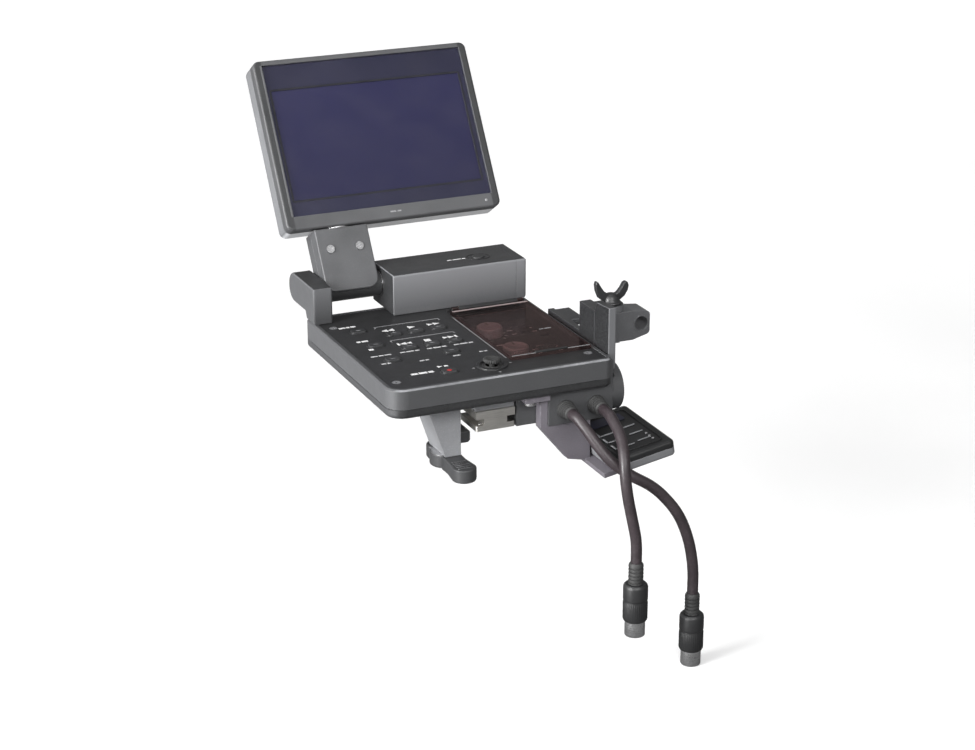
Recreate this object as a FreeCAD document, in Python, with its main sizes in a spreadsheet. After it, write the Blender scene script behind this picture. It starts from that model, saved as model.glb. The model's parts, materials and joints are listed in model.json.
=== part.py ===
import FreeCAD, Part
import math
import os
import re
import Sketcher

Vector = FreeCAD.Vector

# Driving sizes in millimetres and degrees. Deck coordinates run from the near left top corner of
# the control housing: X to the right, Y away from the operator, Z up.
SIZES = {
    # Where the deck corner lies from the centre of the shoe foot's seat
    "deck_left": -52.75,
    "deck_near": -18.5,
    "deck_top": 28.5,
    # Clearances
    "gap": 0.1,
    "running": 0.05,
    "past": 1.0,
    # Control housing
    "deck_width": 105.5,
    "deck_depth": 107.0,
    "wall_height": 13.5,
    "shell_wall": 2.2,
    "near_corner": 8.0,
    "far_corner": 3.5,
    "base_round": 2.0,
    "rim_chamfer": 0.7,
    "rim": 2.4,
    "plate_drop": 0.2,
    "plate_thick": 2.0,
    "plate_corner": 5.4,
    "boss_radius": 3.0,
    "boss_bore": 1.15,
    "boss_top": -2.5,
    "foot_boss": 1.6,
    "bolt_radius": 1.5,
    "bolt_bore": 1.55,
    "bolt_bore_deep": 4.2,
    "bolt_head": 2.6,
    "bolt_head_tall": 1.8,
    "bolt_reach": 6.4,
    "head_radius": 1.9,
    "head_tall": 1.0,
    "small_shank": 1.1,
    "small_reach": 4.0,
    "recess_half": 0.3,
    "recess_reach": 1.2,
    "recess_deep": 0.7,
    "screw_inset": 4.5,
    "screw_left": 7.0,
    "screw_right": 98.5,
    "screw_near": 11.5,
    "screw_far": 88.5,
    # Keypad
    "key_wide": 6.8,
    "key_deep": 4.4,
    "key_proud": 0.5,
    "key_flange": 1.0,
    "key_flange_top": -2.3,
    "key_flange_low": -2.9,
    "key_round": 1.2,
    "key_slack": 0.15,
    "key_crown": 0.3,
    "dome_radius": 2.4,
    "dome_tall": 1.2,
    "mat_top": -3.7,
    "mat_thick": 0.9,
    "mat_left": 9.5,
    "mat_right": 62.5,
    "mat_near": 30.0,
    "mat_far": 84.0,
    "board_top": -7.7,
    "board_thick": 1.6,
    "board_left": 11.5,
    "board_right": 61.0,
    "board_near": 22.0,
    "board_far": 98.0,
    "chip_tall": 1.8,
    # Joystick
    "stick_x": 53.0,
    "stick_y": 14.0,
    "stick_pivot": -6.0,
    "stick_hole": 5.2,
    "stick_ring": 7.0,
    "stick_ring_top": 0.2,
    "stick_shaft": 1.2,
    "stick_cap": 3.9,
    "stick_cap_low": 1.4,
    "stick_cap_top": 3.3,
    "gimbal_outer": 4.0,
    "gimbal_inner": 2.9,
    "gimbal_half": 0.9,
    "gimbal_pin": 1.5,
    "skirt_radius": 5.0,
    "skirt_low": -3.9,
    "skirt_top": -3.4,
    "cross_bar": 2.7,
    # Audio controls
    "tray_left": 64.0,
    "tray_right": 101.8,
    "tray_near": 18.0,
    "tray_far": 83.0,
    "tray_low": -7.6,
    "tray_top": -2.3,
    "tray_wall": 1.2,
    "dial_radius": 6.0,
    "dial_x": 75.0,
    "dial_near": 37.0,
    "dial_far": 66.0,
    "dial_low": -6.2,
    "dial_top": -1.6,
    "dial_stem": 1.5,
    "dial_grip": 0.5,
    "switch_x": 91.5,
    "switch_near": 38.0,
    "switch_far": 66.0,
    "switch_wide": 4.2,
    "switch_deep": 3.6,
    "switch_top": -3.2,
    "switch_stem": 0.8,
    "slot_half": 1.0,
    "switch_travel": 4.0,
    "cover_left": 63.2,
    "cover_right": 102.6,
    "cover_near": 15.8,
    "cover_far": 88.4,
    "cover_low": -0.1,
    "cover_thick": 1.6,
    "cover_axis_y": 86.2,
    "cover_axis_z": 1.3,
    "cover_knuckle": 1.3,
    "cover_pin": 0.6,
    "cover_lug": 3.0,
    "knuckle_left": 65.0,
    "knuckle_right": 98.0,
    # Tilt hinge
    "hinge_y": 110.5,
    "hinge_z": 10.9,
    "tilt_rest": 32.0,
    "shaft_radius": 2.5,
    "shaft_start": 3.2,
    "shaft_end": 62.0,
    "ear_wide": 9.4,
    "ear_near": 94.9,
    "ear_top": 17.2,
    "ear_tip": 128.5,
    "ear_low": 3.4,
    "ear_root": 10.0,
    "ear_lobe": 6.6,
    "block_left": 38.4,
    "block_seam": 100.9,
    "block_right": 106.1,
    "block_near": 92.7,
    "block_far": 118.8,
    "block_top": 19.3,
    "block_wall": 2.0,
    "block_round": 1.0,
    "block_bevel": 0.8,
    "barrel_radius": 5.9,
    "barrel_start": 9.7,
    "barrel_end": 37.9,
    "lock_x": 86.0,
    "lock_y": 104.0,
    "lock_radius": 3.0,
    "lock_tall": 2.9,
    # Arm between the tilt hinge and the screen, in screen coordinates
    "arm_left": 9.9,
    "arm_right": 36.1,
    "arm_half": 7.0,
    "arm_top": 27.2,
    "arm_low": -3.0,
    "arm_round": 5.0,
    "arm_edge": 0.6,
    "arm_screw_up": 17.2,
    "arm_screw_side": 7.2,
    "swivel_x": 23.0,
    "swivel_radius": 3.5,
    "swivel_low": 19.5,
    "swivel_high": 36.0,
    "collar_radius": 6.5,
    "collar_low": 27.25,
    "collar_high": 27.85,
    # Screen, in screen coordinates
    "screen_left": -2.8,
    "screen_right": 105.2,
    "screen_low": 27.95,
    "screen_high": 111.0,
    "screen_half": 7.2,
    "screen_seam": -2.0,
    "screen_corner": 3.2,
    "screen_edge": 1.7,
    "screen_wall": 1.5,
    "front_wall": 1.5,
    "bezel_wall": 2.6,
    "bezel_edge": 1.2,
    "window_left": 1.6,
    "window_right": 101.4,
    "window_low": 34.6,
    "window_high": 108.4,
    "window_face": -6.9,
    "window_thick": 1.0,
    "panel_left": 2.6,
    "panel_right": 100.4,
    "panel_low": 39.6,
    "panel_high": 98.8,
    "panel_face": -5.4,
    "panel_back": -0.4,
    # Microphone sockets
    "xlr_left": 63.1,
    "xlr_step": 76.0,
    "xlr_inner": 82.3,
    "xlr_near": 4.1,
    "xlr_back": 10.0,
    "xlr_far": 52.0,
    "xlr_low": -29.0,
    "xlr_top": -7.9,
    "xlr_skin": 107.5,
    "socket_near": 15.0,
    "socket_far": 41.0,
    "socket_z": -18.5,
    "socket_bore": 9.55,
    "socket_ring": 10.9,
    "socket_mouth": 113.2,
    "socket_depth": 26.0,
    "insert_radius": 8.1,
    "insert_start": 87.3,
    "insert_end": 111.0,
    "contact_radius": 1.7,
    "contact_bore": 1.2,
    "contact_circle": 4.2,
    "contact_start": 94.0,
    "skin_top": -2.5,
    "lever_wide": 6.0,
    "lever_low": -5.9,
    "lever_high": -3.9,
    "lever_start": 104.4,
    "lever_end": 110.4,
    # Foot
    "foot_x": 52.75,
    "foot_y": 18.5,
    "flange_left": 20.0,
    "flange_right": 62.8,
    "flange_near": 12.0,
    "flange_far": 64.0,
    "flange_low": -17.0,
    "foot_screw_near": 38.0,
    "shoe_wide": 18.6,
    "shoe_long": 18.0,
    "shoe_thick": 2.6,
    "shoe_neck": 11.0,
    "shoe_neck_top": -23.0,
    "shoe_top": -19.4,
    "post_left": 22.7,
    "post_foot": 30.6,
    "post_right": 38.0,
    "post_near": 14.0,
    "post_far": 32.0,
    "post_low": -40.0,
    "lever_x": 34.3,
    "lever_y": 23.0,
    "lever_bolt": 2.0,
    "lever_bolt_long": 17.0,
    "post_bore_deep": 19.5,
    "lever_hub": 7.0,
    "lever_reach": 21.0,
    "lever_back": 9.0,
    "lever_tip": 5.5,
    "lever_top": -40.2,
    "lever_bottom": -46.5,
    "jaw_slot_low": -38.2,
    "jaw_slot_top": -29.4,
    "jaw_slot_near": 17.5,
    "jaw_slot_far": 28.5,
    "jaw_top": -31.0,
    "jaw_low": -36.0,
    "jaw_tip": 44.0,
    # Receiver and its bracket
    "web_near": 5.0,
    "web_far": 9.8,
    "web_left": 72.4,
    "web_drop": -30.0,
    "web_foot": 86.0,
    "web_right": 97.0,
    "web_low": -49.0,
    "web_foot_low": -46.5,
    "lug_left": 64.0,
    "lug_near": 2.4,
    "lug_low": -16.2,
    "lug_screw_y": 6.2,
    "lug_screw_x": 68.0,
    "receiver_x": 98.5,
    "receiver_y": -20.0,
    "receiver_z": -47.2,
    "receiver_roll": 10.0,
    "receiver_wide": 29.5,
    "receiver_long": 48.0,
    "receiver_seam": 4.0,
    "receiver_tall": 7.5,
    "receiver_corner": 2.5,
    "receiver_wall": 1.2,
    "receiver_round": 1.5,
    "receiver_board_inset": 3.0,
    "tray_lip": 4.0,
    "shelf_wide": 28.0,
    "shelf_near": -14.0,
    "shelf_reach": 22.0,
    "shelf_thick": 2.2,
    # Microphone arm
    "mic_left": 105.7,
    "mic_plate": 108.6,
    "mic_near": 20.0,
    "mic_drop": 52.4,
    "mic_far": 68.0,
    "mic_rail_low": -2.3,
    "mic_low": -13.0,
    "mic_top": 1.8,
    "mic_screw_near": 56.5,
    "mic_screw_far": 64.0,
    "mic_screw_z": -9.5,
    "ledge_right": 115.5,
    "ledge_near": 50.0,
    "ledge_low": -1.2,
    "ledge_far": 66.0,
    "riser_far": 35.0,
    "riser_right": 111.2,
    "riser_top": 15.8,
    "lug_top_low": 12.8,
    "mic_axis_x": 117.0,
    "mic_axis_y": 26.2,
    "mic_half": 5.6,
    "mic_end_round": 2.0,
    "mic_bar_low": -1.0,
    "mic_bar_top": 12.7,
    "mic_bar_end": 134.0,
    "mic_bar_end_low": 1.2,
    "mic_hole_x": 129.5,
    "mic_hole_z": 6.4,
    "mic_hole": 3.2,
    "wing_bolt": 2.9,
    "wing_hub": 4.6,
    "wing_hub_top": 20.5,
    "wing_span": 8.4,
    "wing_shoulder": 5.0,
    "wing_top": 27.4,
    "wing_half": 1.5,
    # Cables
    "cable_radius": 2.5,
    "boot_radius": 4.2,
    "boot_tip": 3.2,
    "boot_long": 7.0,
    "cable_a_x": 84.0,
    "cable_b_x": 99.0,
    "cable_start_z": -22.0,
    "plug_collar": 3.4,
    "plug_collar_long": 10.0,
    "plug_body": 5.6,
    "plug_body_long": 18.0,
    "plug_nose": 4.6,
    "plug_nose_long": 7.0,
}

# Keys on the deck: name, centre X and centre Y
KEYS = (
    ("button_display", 15.5, 79.0),
    ("button_monitor", 16.0, 58.5),
    ("button_menu", 16.0, 38.0),
    ("button_rewind", 29.0, 69.5),
    ("button_play", 40.0, 69.5),
    ("button_forward", 51.0, 69.5),
    ("button_previous", 29.0, 50.5),
    ("button_stop", 40.0, 50.5),
    ("button_next", 51.0, 50.5),
    ("button_cancel", 44.0, 38.0),
    ("button_record", 33.0, 14.5),
)

# Parts soldered to the main board: name, left, near, width and depth from the board's corner
CHIPS = (
    ("processor", 8.0, 6.0, 12.0, 12.0),
    ("can", 24.0, 12.0, 16.0, 10.0),
    ("connector", 10.0, 66.0, 24.0, 5.0),
)

# Cable routes in deck coordinates, from the boot's tip to the plug
MONITOR_ROUTE = (
    (84.0, -3.0, -22.0),
    (84.0, -7.0, -22.0),
    (86.6, -12.0, -26.5),
    (89.6, -16.5, -32.5),
    (94.0, -21.5, -39.5),
    (101.5, -25.5, -45.5),
    (112.5, -28.0, -52.0),
    (123.5, -30.0, -65.0),
    (129.5, -30.0, -80.0),
    (132.0, -30.0, -94.0),
    (132.0, -30.0, -106.0),
)
AUDIO_ROUTE = (
    (99.0, -3.0, -22.0),
    (99.0, -9.5, -22.0),
    (98.6, -22.0, -28.0),
    (96.6, -29.0, -34.5),
    (95.6, -32.4, -43.5),
    (96.8, -33.0, -53.0),
    (101.5, -33.0, -74.0),
    (101.5, -33.0, -84.0),
)

X_AXIS = Vector(1, 0, 0)
Y_AXIS = Vector(0, 1, 0)
Z_AXIS = Vector(0, 0, 1)
TURN_TO = {
    "up": FreeCAD.Rotation(),
    "down": FreeCAD.Rotation(X_AXIS, 180),
    "right": FreeCAD.Rotation(Y_AXIS, 90),
    "far": FreeCAD.Rotation(X_AXIS, -90),
    "near": FreeCAD.Rotation(X_AXIS, 90),
}
PLANES = {"XY": "XY_Plane", "XZ": "XZ_Plane", "YZ": "YZ_Plane"}
FLAT = 1e-6
NEAR = 1e-3
SHORTEST_RUN = 0.01

DOC = FreeCAD.newDocument("camera_top_unit")
SHEET = DOC.addObject("Spreadsheet::Sheet", "dims")
NODES = []


def fill_sheet():
    """Write every driving size to the sheet, its name beside its value."""
    for row, (alias, value) in enumerate(SIZES.items(), start=1):
        SHEET.set(f"A{row}", alias)
        SHEET.set(f"B{row}", str(value))
        SHEET.setAlias(f"B{row}", alias)
    DOC.recompute()


def formula(text):
    """The same formula with each size's name pointing at the sheet."""
    return re.sub(r"[a-z_]+", lambda word: "dims." + word[0] if word[0] in SIZES else word[0], str(text))


def number(text):
    return float(SHEET.evalExpression(formula(text)))


def bind(thing, prop, text):
    thing.setExpression(prop, formula(text))


def locate(thing, x, y, z):
    for axis, text in zip("xyz", (x, y, z)):
        bind(thing, ".Placement.Base." + axis, text)


def keep(thing, label):
    """Name a finished sub-part and add it to the parts that are written."""
    thing.Label = label
    NODES.append(thing)
    return thing


def on_deck(thing, x=0, y=0, z=0):
    """Place a sub-part whose own origin lies at x, y, z in deck coordinates."""
    locate(thing, f"deck_left + {x}", f"deck_near + {y}", f"deck_top + {z}")
    return thing


def on_screen(thing):
    """Place a sub-part drawn in screen coordinates: Z runs up the screen from the tilt axis."""
    thing.Placement = FreeCAD.Placement(Vector(), FreeCAD.Rotation(-X_AXIS, SIZES["tilt_rest"]))
    bind(thing, ".Placement.Rotation.Angle", "tilt_rest")
    return on_deck(thing, 0, "hinge_y", "hinge_z")


def on_receiver(thing):
    """Place a sub-part drawn from the receiver's near left bottom corner."""
    thing.Placement = FreeCAD.Placement(Vector(), FreeCAD.Rotation(-Y_AXIS, SIZES["receiver_roll"]))
    bind(thing, ".Placement.Rotation.Angle", "receiver_roll")
    return on_deck(thing, "receiver_x", "receiver_y", "receiver_z")


def new_body(label):
    return keep(DOC.addObject("PartDesign::Body", label), label)


def feature(body, kind, name, cut):
    sort = "Subtractive" if cut else "Additive"
    return body.newObject(f"PartDesign::{sort}{kind}", f"{body.Name}_{name}")


def box(body, name, x_span, y_span, z_span, cut=False):
    """A block between two planes on each axis, added to the body or cut from it."""
    block = feature(body, "Box", name, cut)
    for prop, (low, high) in zip(("Length", "Width", "Height"), (x_span, y_span, z_span)):
        bind(block, prop, f"({high}) - ({low})")
    locate(block, x_span[0], y_span[0], z_span[0])
    return block


def rod(body, name, start, radius, length, facing="up", cut=False):
    """A round rod from a start point along one direction, added to the body or cut from it."""
    cylinder = feature(body, "Cylinder", name, cut)
    cylinder.Placement = FreeCAD.Placement(Vector(), TURN_TO[facing])
    bind(cylinder, "Radius", radius)
    bind(cylinder, "Height", length)
    locate(cylinder, *start)
    return cylinder


def new_sketch(body, name, plane, start):
    """An empty sketch parallel to one of the body's own planes, at a distance along its axis."""
    sketch = body.newObject("Sketcher::SketchObject", f"{body.Name}_{name}_sketch")
    origin_plane = next(o for o in body.Origin.OriginFeatures if o.Role == PLANES[plane])
    sketch.AttachmentSupport = (origin_plane, "")
    sketch.MapMode = "FlatFace"
    sign = "-" if plane == "XZ" else ""
    bind(sketch, ".AttachmentOffset.Base.z", f"{sign}({start})")
    return sketch


def drive_point(sketch, line, x, y):
    """Tie the first point of a line to a pair of formulas."""
    for kind, text in (("DistanceX", x), ("DistanceY", y)):
        index = sketch.addConstraint(Sketcher.Constraint(kind, -1, 1, line, 1, number(text)))
        bind(sketch, f"Constraints[{index}]", text)


def outline(body, name, plane, start, points):
    """A closed outline of straight lines whose corners are all driven by formulas."""
    sketch = new_sketch(body, name, plane, start)
    corners = [Vector(number(x), number(y), 0) for x, y in points]
    following = corners[1:] + corners[:1]
    for one, two in zip(corners, following):
        sketch.addGeometry(Part.LineSegment(one, two), False)
    for line in range(len(points)):
        sketch.addConstraint(Sketcher.Constraint("Coincident", line, 2, (line + 1) % len(points), 1))
    for line, (x, y) in enumerate(points):
        drive_point(sketch, line, x, y)
    return sketch


def prism(body, name, plane, span, points):
    """An outline padded between two distances along its plane's axis."""
    sketch = outline(body, name, plane, span[0], points)
    pad = body.newObject("PartDesign::Pad", f"{body.Name}_{name}")
    pad.Profile = sketch
    bind(pad, "Length", f"({span[1]}) - ({span[0]})")
    pad.Reversed = plane == "XZ"
    sketch.Visibility = False
    return pad


def corners_of(x_span, y_span):
    return (
        (x_span[0], y_span[0]),
        (x_span[1], y_span[0]),
        (x_span[1], y_span[1]),
        (x_span[0], y_span[1]),
    )


def is_straight(edge):
    return edge.Curve.TypeId == "Part::GeomLine"


def runs_along(edge, axis):
    return is_straight(edge) and abs(edge.tangentAt(edge.FirstParameter).dot(axis)) > 1 - FLAT


def lies_at(edge, axis, place):
    """True for an edge that stays in the plane at one place on an axis."""
    return all(abs(point.dot(axis) - number(place)) < NEAR for point in edge.discretize(3))


def upright_at(*places):
    """A test for the upright edges that stand at the given X, Y places."""
    spots = [Vector(number(x), number(y), 0) for x, y in places]

    def test(edge):
        middle = edge.CenterOfMass
        foot = Vector(middle.x, middle.y, 0)
        return runs_along(edge, Z_AXIS) and any(foot.distanceToPoint(spot) < NEAR for spot in spots)

    return test


def dress(body, kind, name, size, test):
    """A fillet or a chamfer on the edges of the body's tip that pass a test."""
    DOC.recompute()
    tip = body.Tip
    chosen = [f"Edge{i}" for i, edge in enumerate(tip.Shape.Edges, start=1) if test(edge)]
    dressing = body.newObject(f"PartDesign::{kind}", f"{body.Name}_{name}")
    dressing.Base = (tip, chosen)
    bind(dressing, "Radius" if kind == "Fillet" else "Size", size)
    return dressing


def hollow(body, name, wall, axis, place):
    """Leave a wall of even thickness, open at the flat face that lies at a place on an axis."""
    DOC.recompute()
    tip = body.Tip
    faces = enumerate(tip.Shape.Faces, start=1)
    flat = [(i, face) for i, face in faces if face.Surface.TypeId == "Part::GeomPlane"]
    mouth = [f"Face{i}" for i, f in flat if abs(f.CenterOfMass.dot(axis) - number(place)) < NEAR]
    shell = body.newObject("PartDesign::Thickness", f"{body.Name}_{name}")
    shell.Base = (tip, mouth)
    bind(shell, "Value", wall)
    shell.Reversed = True
    return shell


# Control housing


def base_shell():
    """Moulded tub with rounded corners, screw bosses and openings on its right side."""
    body = new_body("base_shell")
    plan = corners_of((0, "deck_width"), (0, "deck_depth"))
    prism(body, "tub", "XY", ("-wall_height", 0), plan)
    dress(body, "Fillet", "near_corner", "near_corner", upright_at(plan[0]))
    dress(body, "Fillet", "corners", "far_corner", upright_at(*plan[1:]))
    hollow(body, "cavity", "shell_wall", Z_AXIS, 0)
    dress(body, "Fillet", "soft_base", "base_round", lambda e: lies_at(e, Z_AXIS, "-wall_height"))
    dress(body, "Chamfer", "rim", "rim_chamfer", on_outer_rim)
    floor = "shell_wall - wall_height"
    for name, y in (("near_boss", "screw_near"), ("far_boss", "screw_far")):
        rise = f"boss_top - ({floor})"
        rod(body, name, ("screw_left", y, f"{floor} - gap"), "boss_radius", f"{rise} + gap")
        rod(body, name + "_bore", ("screw_left", y, floor), "boss_bore", f"{rise} + past", cut=True)
    for index, (x, y) in enumerate(foot_screws()):
        rod(body, f"foot_boss_{index}", (x, y, f"{floor} - gap"), "boss_radius", "foot_boss")
        start = (x, y, "-wall_height - past")
        rod(body, f"foot_bore_{index}", start, "bolt_bore", "bolt_bore_deep", cut=True)
    bay_x = ("xlr_inner - gap", "deck_width + past")
    bay_y = ("xlr_near - gap", "xlr_far + gap")
    box(body, "socket_bay", bay_x, bay_y, ("-wall_height - past", "xlr_top + gap"), cut=True)
    wall_x = ("deck_width - shell_wall - past", "deck_width + past")
    for name, y in (("near_slot", "socket_near"), ("far_slot", "socket_far")):
        box(body, name, wall_x, *lever_slot(y), cut=True)
    for index, y in enumerate(mic_screws()):
        start = (wall_x[0], y, "mic_screw_z")
        rod(body, f"mic_bore_{index}", start, "bolt_bore", "shell_wall + 2 * past", "right", cut=True)
    for index, (x, y) in enumerate(bracket_screws()):
        start = (x, y, "-wall_height - past")
        rod(body, f"bracket_bore_{index}", start, "bolt_bore", "shell_wall + 2 * past", cut=True)
    return on_deck(body)


def on_outer_rim(edge):
    """True for the edges around the outside of the tub's open top."""
    middle = edge.CenterOfMass
    inside_x = number("shell_wall / 2") < middle.x < number("deck_width - shell_wall / 2")
    inside_y = number("shell_wall / 2") < middle.y < number("deck_depth - shell_wall / 2")
    corner = Vector(number("near_corner"), number("near_corner"), 0)
    on_corner = abs(middle.distanceToPoint(corner) - number("near_corner")) < number("shell_wall / 2")
    return lies_at(edge, Z_AXIS, 0) and (on_corner or not (inside_x and inside_y))


def lever_slot(y):
    """The Y and Z spans of the slot that a socket's release lever passes through."""
    across = (f"{y} - lever_wide / 2 - gap", f"{y} + lever_wide / 2 + gap")
    return across, ("lever_low - gap", "lever_high + gap")


def foot_screws():
    xs = ("flange_left + screw_inset", "flange_right - screw_inset")
    ys = ("foot_screw_near", "flange_far - screw_inset")
    return [(x, y) for x in xs for y in ys]


def mic_screws():
    return ("mic_screw_near", "mic_screw_far")


def bracket_screws():
    return (("lug_screw_x", "lug_screw_y"),)


def deck_screw_places():
    return (("screw_left", "screw_near"), ("screw_right", "screw_near"), ("screw_left", "screw_far"))


def top_plate():
    """Deck plate with openings for the keys, the joystick and the audio controls."""
    body = new_body("top_plate")
    plan = corners_of(("rim", "deck_width - rim"), ("rim", "deck_depth - rim"))
    prism(body, "sheet", "XY", ("-plate_drop - plate_thick", "-plate_drop"), plan)
    dress(body, "Fillet", "near_corner", "plate_corner", upright_at(plan[0]))
    dress(body, "Fillet", "corners", "key_round", upright_at(*plan[1:]))
    depth = ("-plate_drop - plate_thick - past", "past")
    audio_x = ("tray_left + tray_wall", "tray_right - tray_wall")
    audio_y = ("tray_near + tray_wall", "tray_far - tray_wall")
    box(body, "audio_opening", audio_x, audio_y, depth, cut=True)
    for name, x, y in KEYS:
        half_x = "(key_wide / 2 + key_slack)"
        half_y = "(key_deep / 2 + key_slack)"
        across = (f"{x} - {half_x}", f"{x} + {half_x}")
        box(body, name, across, (f"{y} - {half_y}", f"{y} + {half_y}"), depth, cut=True)
    ring_low = "-plate_drop - gap"
    ring_place = ("stick_x", "stick_y", ring_low)
    rod(body, "stick_ring", ring_place, "stick_ring", f"stick_ring_top - ({ring_low})")
    through = "plate_thick + 4 * past"
    rod(body, "stick_hole", ("stick_x", "stick_y", depth[0]), "stick_hole", through, cut=True)
    for index, (x, y) in enumerate(deck_screw_places()):
        rod(body, f"screw_hole_{index}", (x, y, depth[0]), "boss_bore", through, cut=True)
        seat = (x, y, "-plate_drop - gap - head_tall")
        rod(body, f"screw_seat_{index}", seat, "head_radius + gap", "2 * past", cut=True)
    return on_deck(body)


def keypad_mat():
    """Silicone sheet whose domes lie under the keys."""
    body = new_body("keypad_mat")
    low = "mat_top - mat_thick"
    box(body, "sheet", ("mat_left", "mat_right"), ("mat_near", "mat_far"), (low, "mat_top"))
    for name, x, y in KEYS:
        if number(y) > number("mat_near"):
            rod(body, name, (x, y, f"{low} - dome_tall"), "dome_radius", "dome_tall + mat_thick / 2")
    return on_deck(body)


def main_board():
    """Circuit board with a processor, a shielding can and a connector."""
    body = new_body("main_board")
    low = "board_top - board_thick"
    box(body, "sheet", ("board_left", "board_right"), ("board_near", "board_far"), (low, "board_top"))
    up = ("board_top - gap", "board_top + chip_tall")
    for name, x, y, wide, deep in CHIPS:
        chip_x = (f"board_left + {x}", f"board_left + {x + wide}")
        chip_y = (f"board_near + {y}", f"board_near + {y + deep}")
        box(body, name, chip_x, chip_y, up)
    return on_deck(body)


def deck_key(name, x, y):
    """One key: a rounded cap above a flange that keeps it under the deck plate."""
    body = new_body(name)
    cap = corners_of(("-key_wide / 2", "key_wide / 2"), ("-key_deep / 2", "key_deep / 2"))
    prism(body, "cap", "XY", ("key_flange_low", "key_proud"), cap)
    dress(body, "Fillet", "corners", "key_round", upright_at(*cap))
    dress(body, "Fillet", "crown", "key_crown", lambda e: lies_at(e, Z_AXIS, "key_proud"))
    half_x = "key_wide / 2 + key_flange"
    half_y = "key_deep / 2 + key_flange"
    flange_z = ("key_flange_low", "key_flange_top")
    box(body, "flange", (f"-({half_x})", half_x), (f"-({half_y})", half_y), flange_z)
    return on_deck(body, x, y)


def joystick_gimbal():
    """Square ring that rocks left to right around the near-far axis of the joystick."""
    body = new_body("joystick_gimbal")
    outer = ("-gimbal_outer", "gimbal_outer")
    inner = ("-gimbal_inner", "gimbal_inner")
    box(body, "ring", outer, outer, ("-gimbal_half", "gimbal_half"))
    box(body, "window", inner, inner, ("-gimbal_half - past", "gimbal_half + past"), cut=True)
    for name, facing, side in (("near_pin", "near", "-"), ("far_pin", "far", "")):
        start = (0, f"{side}(gimbal_outer - gap)", 0)
        rod(body, name, start, "gimbal_half / 2", "gimbal_pin", facing)
    return on_deck(body, "stick_x", "stick_y", "stick_pivot")


def joystick_cap():
    """Joystick shaft with its cross bar in the gimbal and a dished cap above the deck."""
    body = new_body("joystick_cap")
    base = "-stick_pivot"
    rod(body, "shaft", (0, 0, "-gimbal_half"), "stick_shaft", f"stick_cap_low {base} + gimbal_half + gap")
    skirt_low = f"skirt_low {base}"
    rod(body, "skirt", (0, 0, skirt_low), "skirt_radius", "skirt_top - skirt_low")
    rod(body, "cross_bar", ("-cross_bar", 0, 0), "gimbal_half / 2", "2 * cross_bar", "right")
    rod(body, "cap", (0, 0, f"stick_cap_low {base}"), "stick_cap", "stick_cap_top - stick_cap_low")
    top = f"stick_cap_top {base}"
    dress(body, "Fillet", "edge", "key_crown", lambda e: lies_at(e, Z_AXIS, top))
    return on_deck(body, "stick_x", "stick_y", "stick_pivot")


# Audio controls


def audio_tray():
    """Recessed tray under the smoked cover, pierced for the dials and switches."""
    body = new_body("audio_tray")
    outer_x = ("tray_left", "tray_right")
    outer_y = ("tray_near", "tray_far")
    box(body, "block", outer_x, outer_y, ("tray_low", "tray_top"))
    inner_x = ("tray_left + tray_wall", "tray_right - tray_wall")
    inner_y = ("tray_near + tray_wall", "tray_far - tray_wall")
    box(body, "recess", inner_x, inner_y, ("tray_low + tray_wall", "tray_top + past"), cut=True)
    for name, y in (("near_dial", "dial_near"), ("far_dial", "dial_far")):
        start = ("dial_x", y, "tray_low - past")
        rod(body, name, start, "dial_stem + running", "tray_wall + 2 * past", cut=True)
    for name, y in (("near_switch", "switch_near"), ("far_switch", "switch_far")):
        along = (f"{y} - switch_travel / 2 - slot_half", f"{y} + switch_travel / 2 + slot_half")
        across = ("switch_x - slot_half", "switch_x + slot_half")
        box(body, name, across, along, ("tray_low - past", "tray_low + tray_wall + past"), cut=True)
    return on_deck(body)


def audio_dial(name, y):
    """Recording level dial with a gripping groove across its top."""
    body = new_body(name)
    rod(body, "knob", (0, 0, "dial_low"), "dial_radius", "dial_top - dial_low")
    dress(body, "Chamfer", "edge", "dial_grip", lambda e: lies_at(e, Z_AXIS, "dial_top"))
    groove_x = ("-dial_grip", "dial_grip")
    groove_y = ("gap", "dial_radius + past")
    box(body, "pointer", groove_x, groove_y, ("dial_top - dial_grip", "past"), cut=True)
    rod(body, "stem", (0, 0, "tray_low"), "dial_stem", "dial_low - tray_low + gap")
    return on_deck(body, "dial_x", y)


def audio_switch(name, y):
    """Two-position slide switch, drawn at the near end of its travel."""
    body = new_body(name)
    half_x = "switch_wide / 2"
    half_y = "switch_deep / 2"
    low = "tray_low + tray_wall + gap"
    box(body, "cap", (f"-{half_x}", half_x), (f"-{half_y}", half_y), (low, "switch_top"))
    dress(body, "Chamfer", "crown", "key_crown", lambda e: lies_at(e, Z_AXIS, "switch_top"))
    stem = ("-switch_stem", "switch_stem")
    box(body, "stem", stem, stem, ("tray_low", f"{low} + gap"))
    return on_deck(body, "switch_x", f"{y} - switch_travel / 2")


def cover_knuckles():
    return (("left_knuckle", "knuckle_left"), ("right_knuckle", "knuckle_right"))


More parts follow.
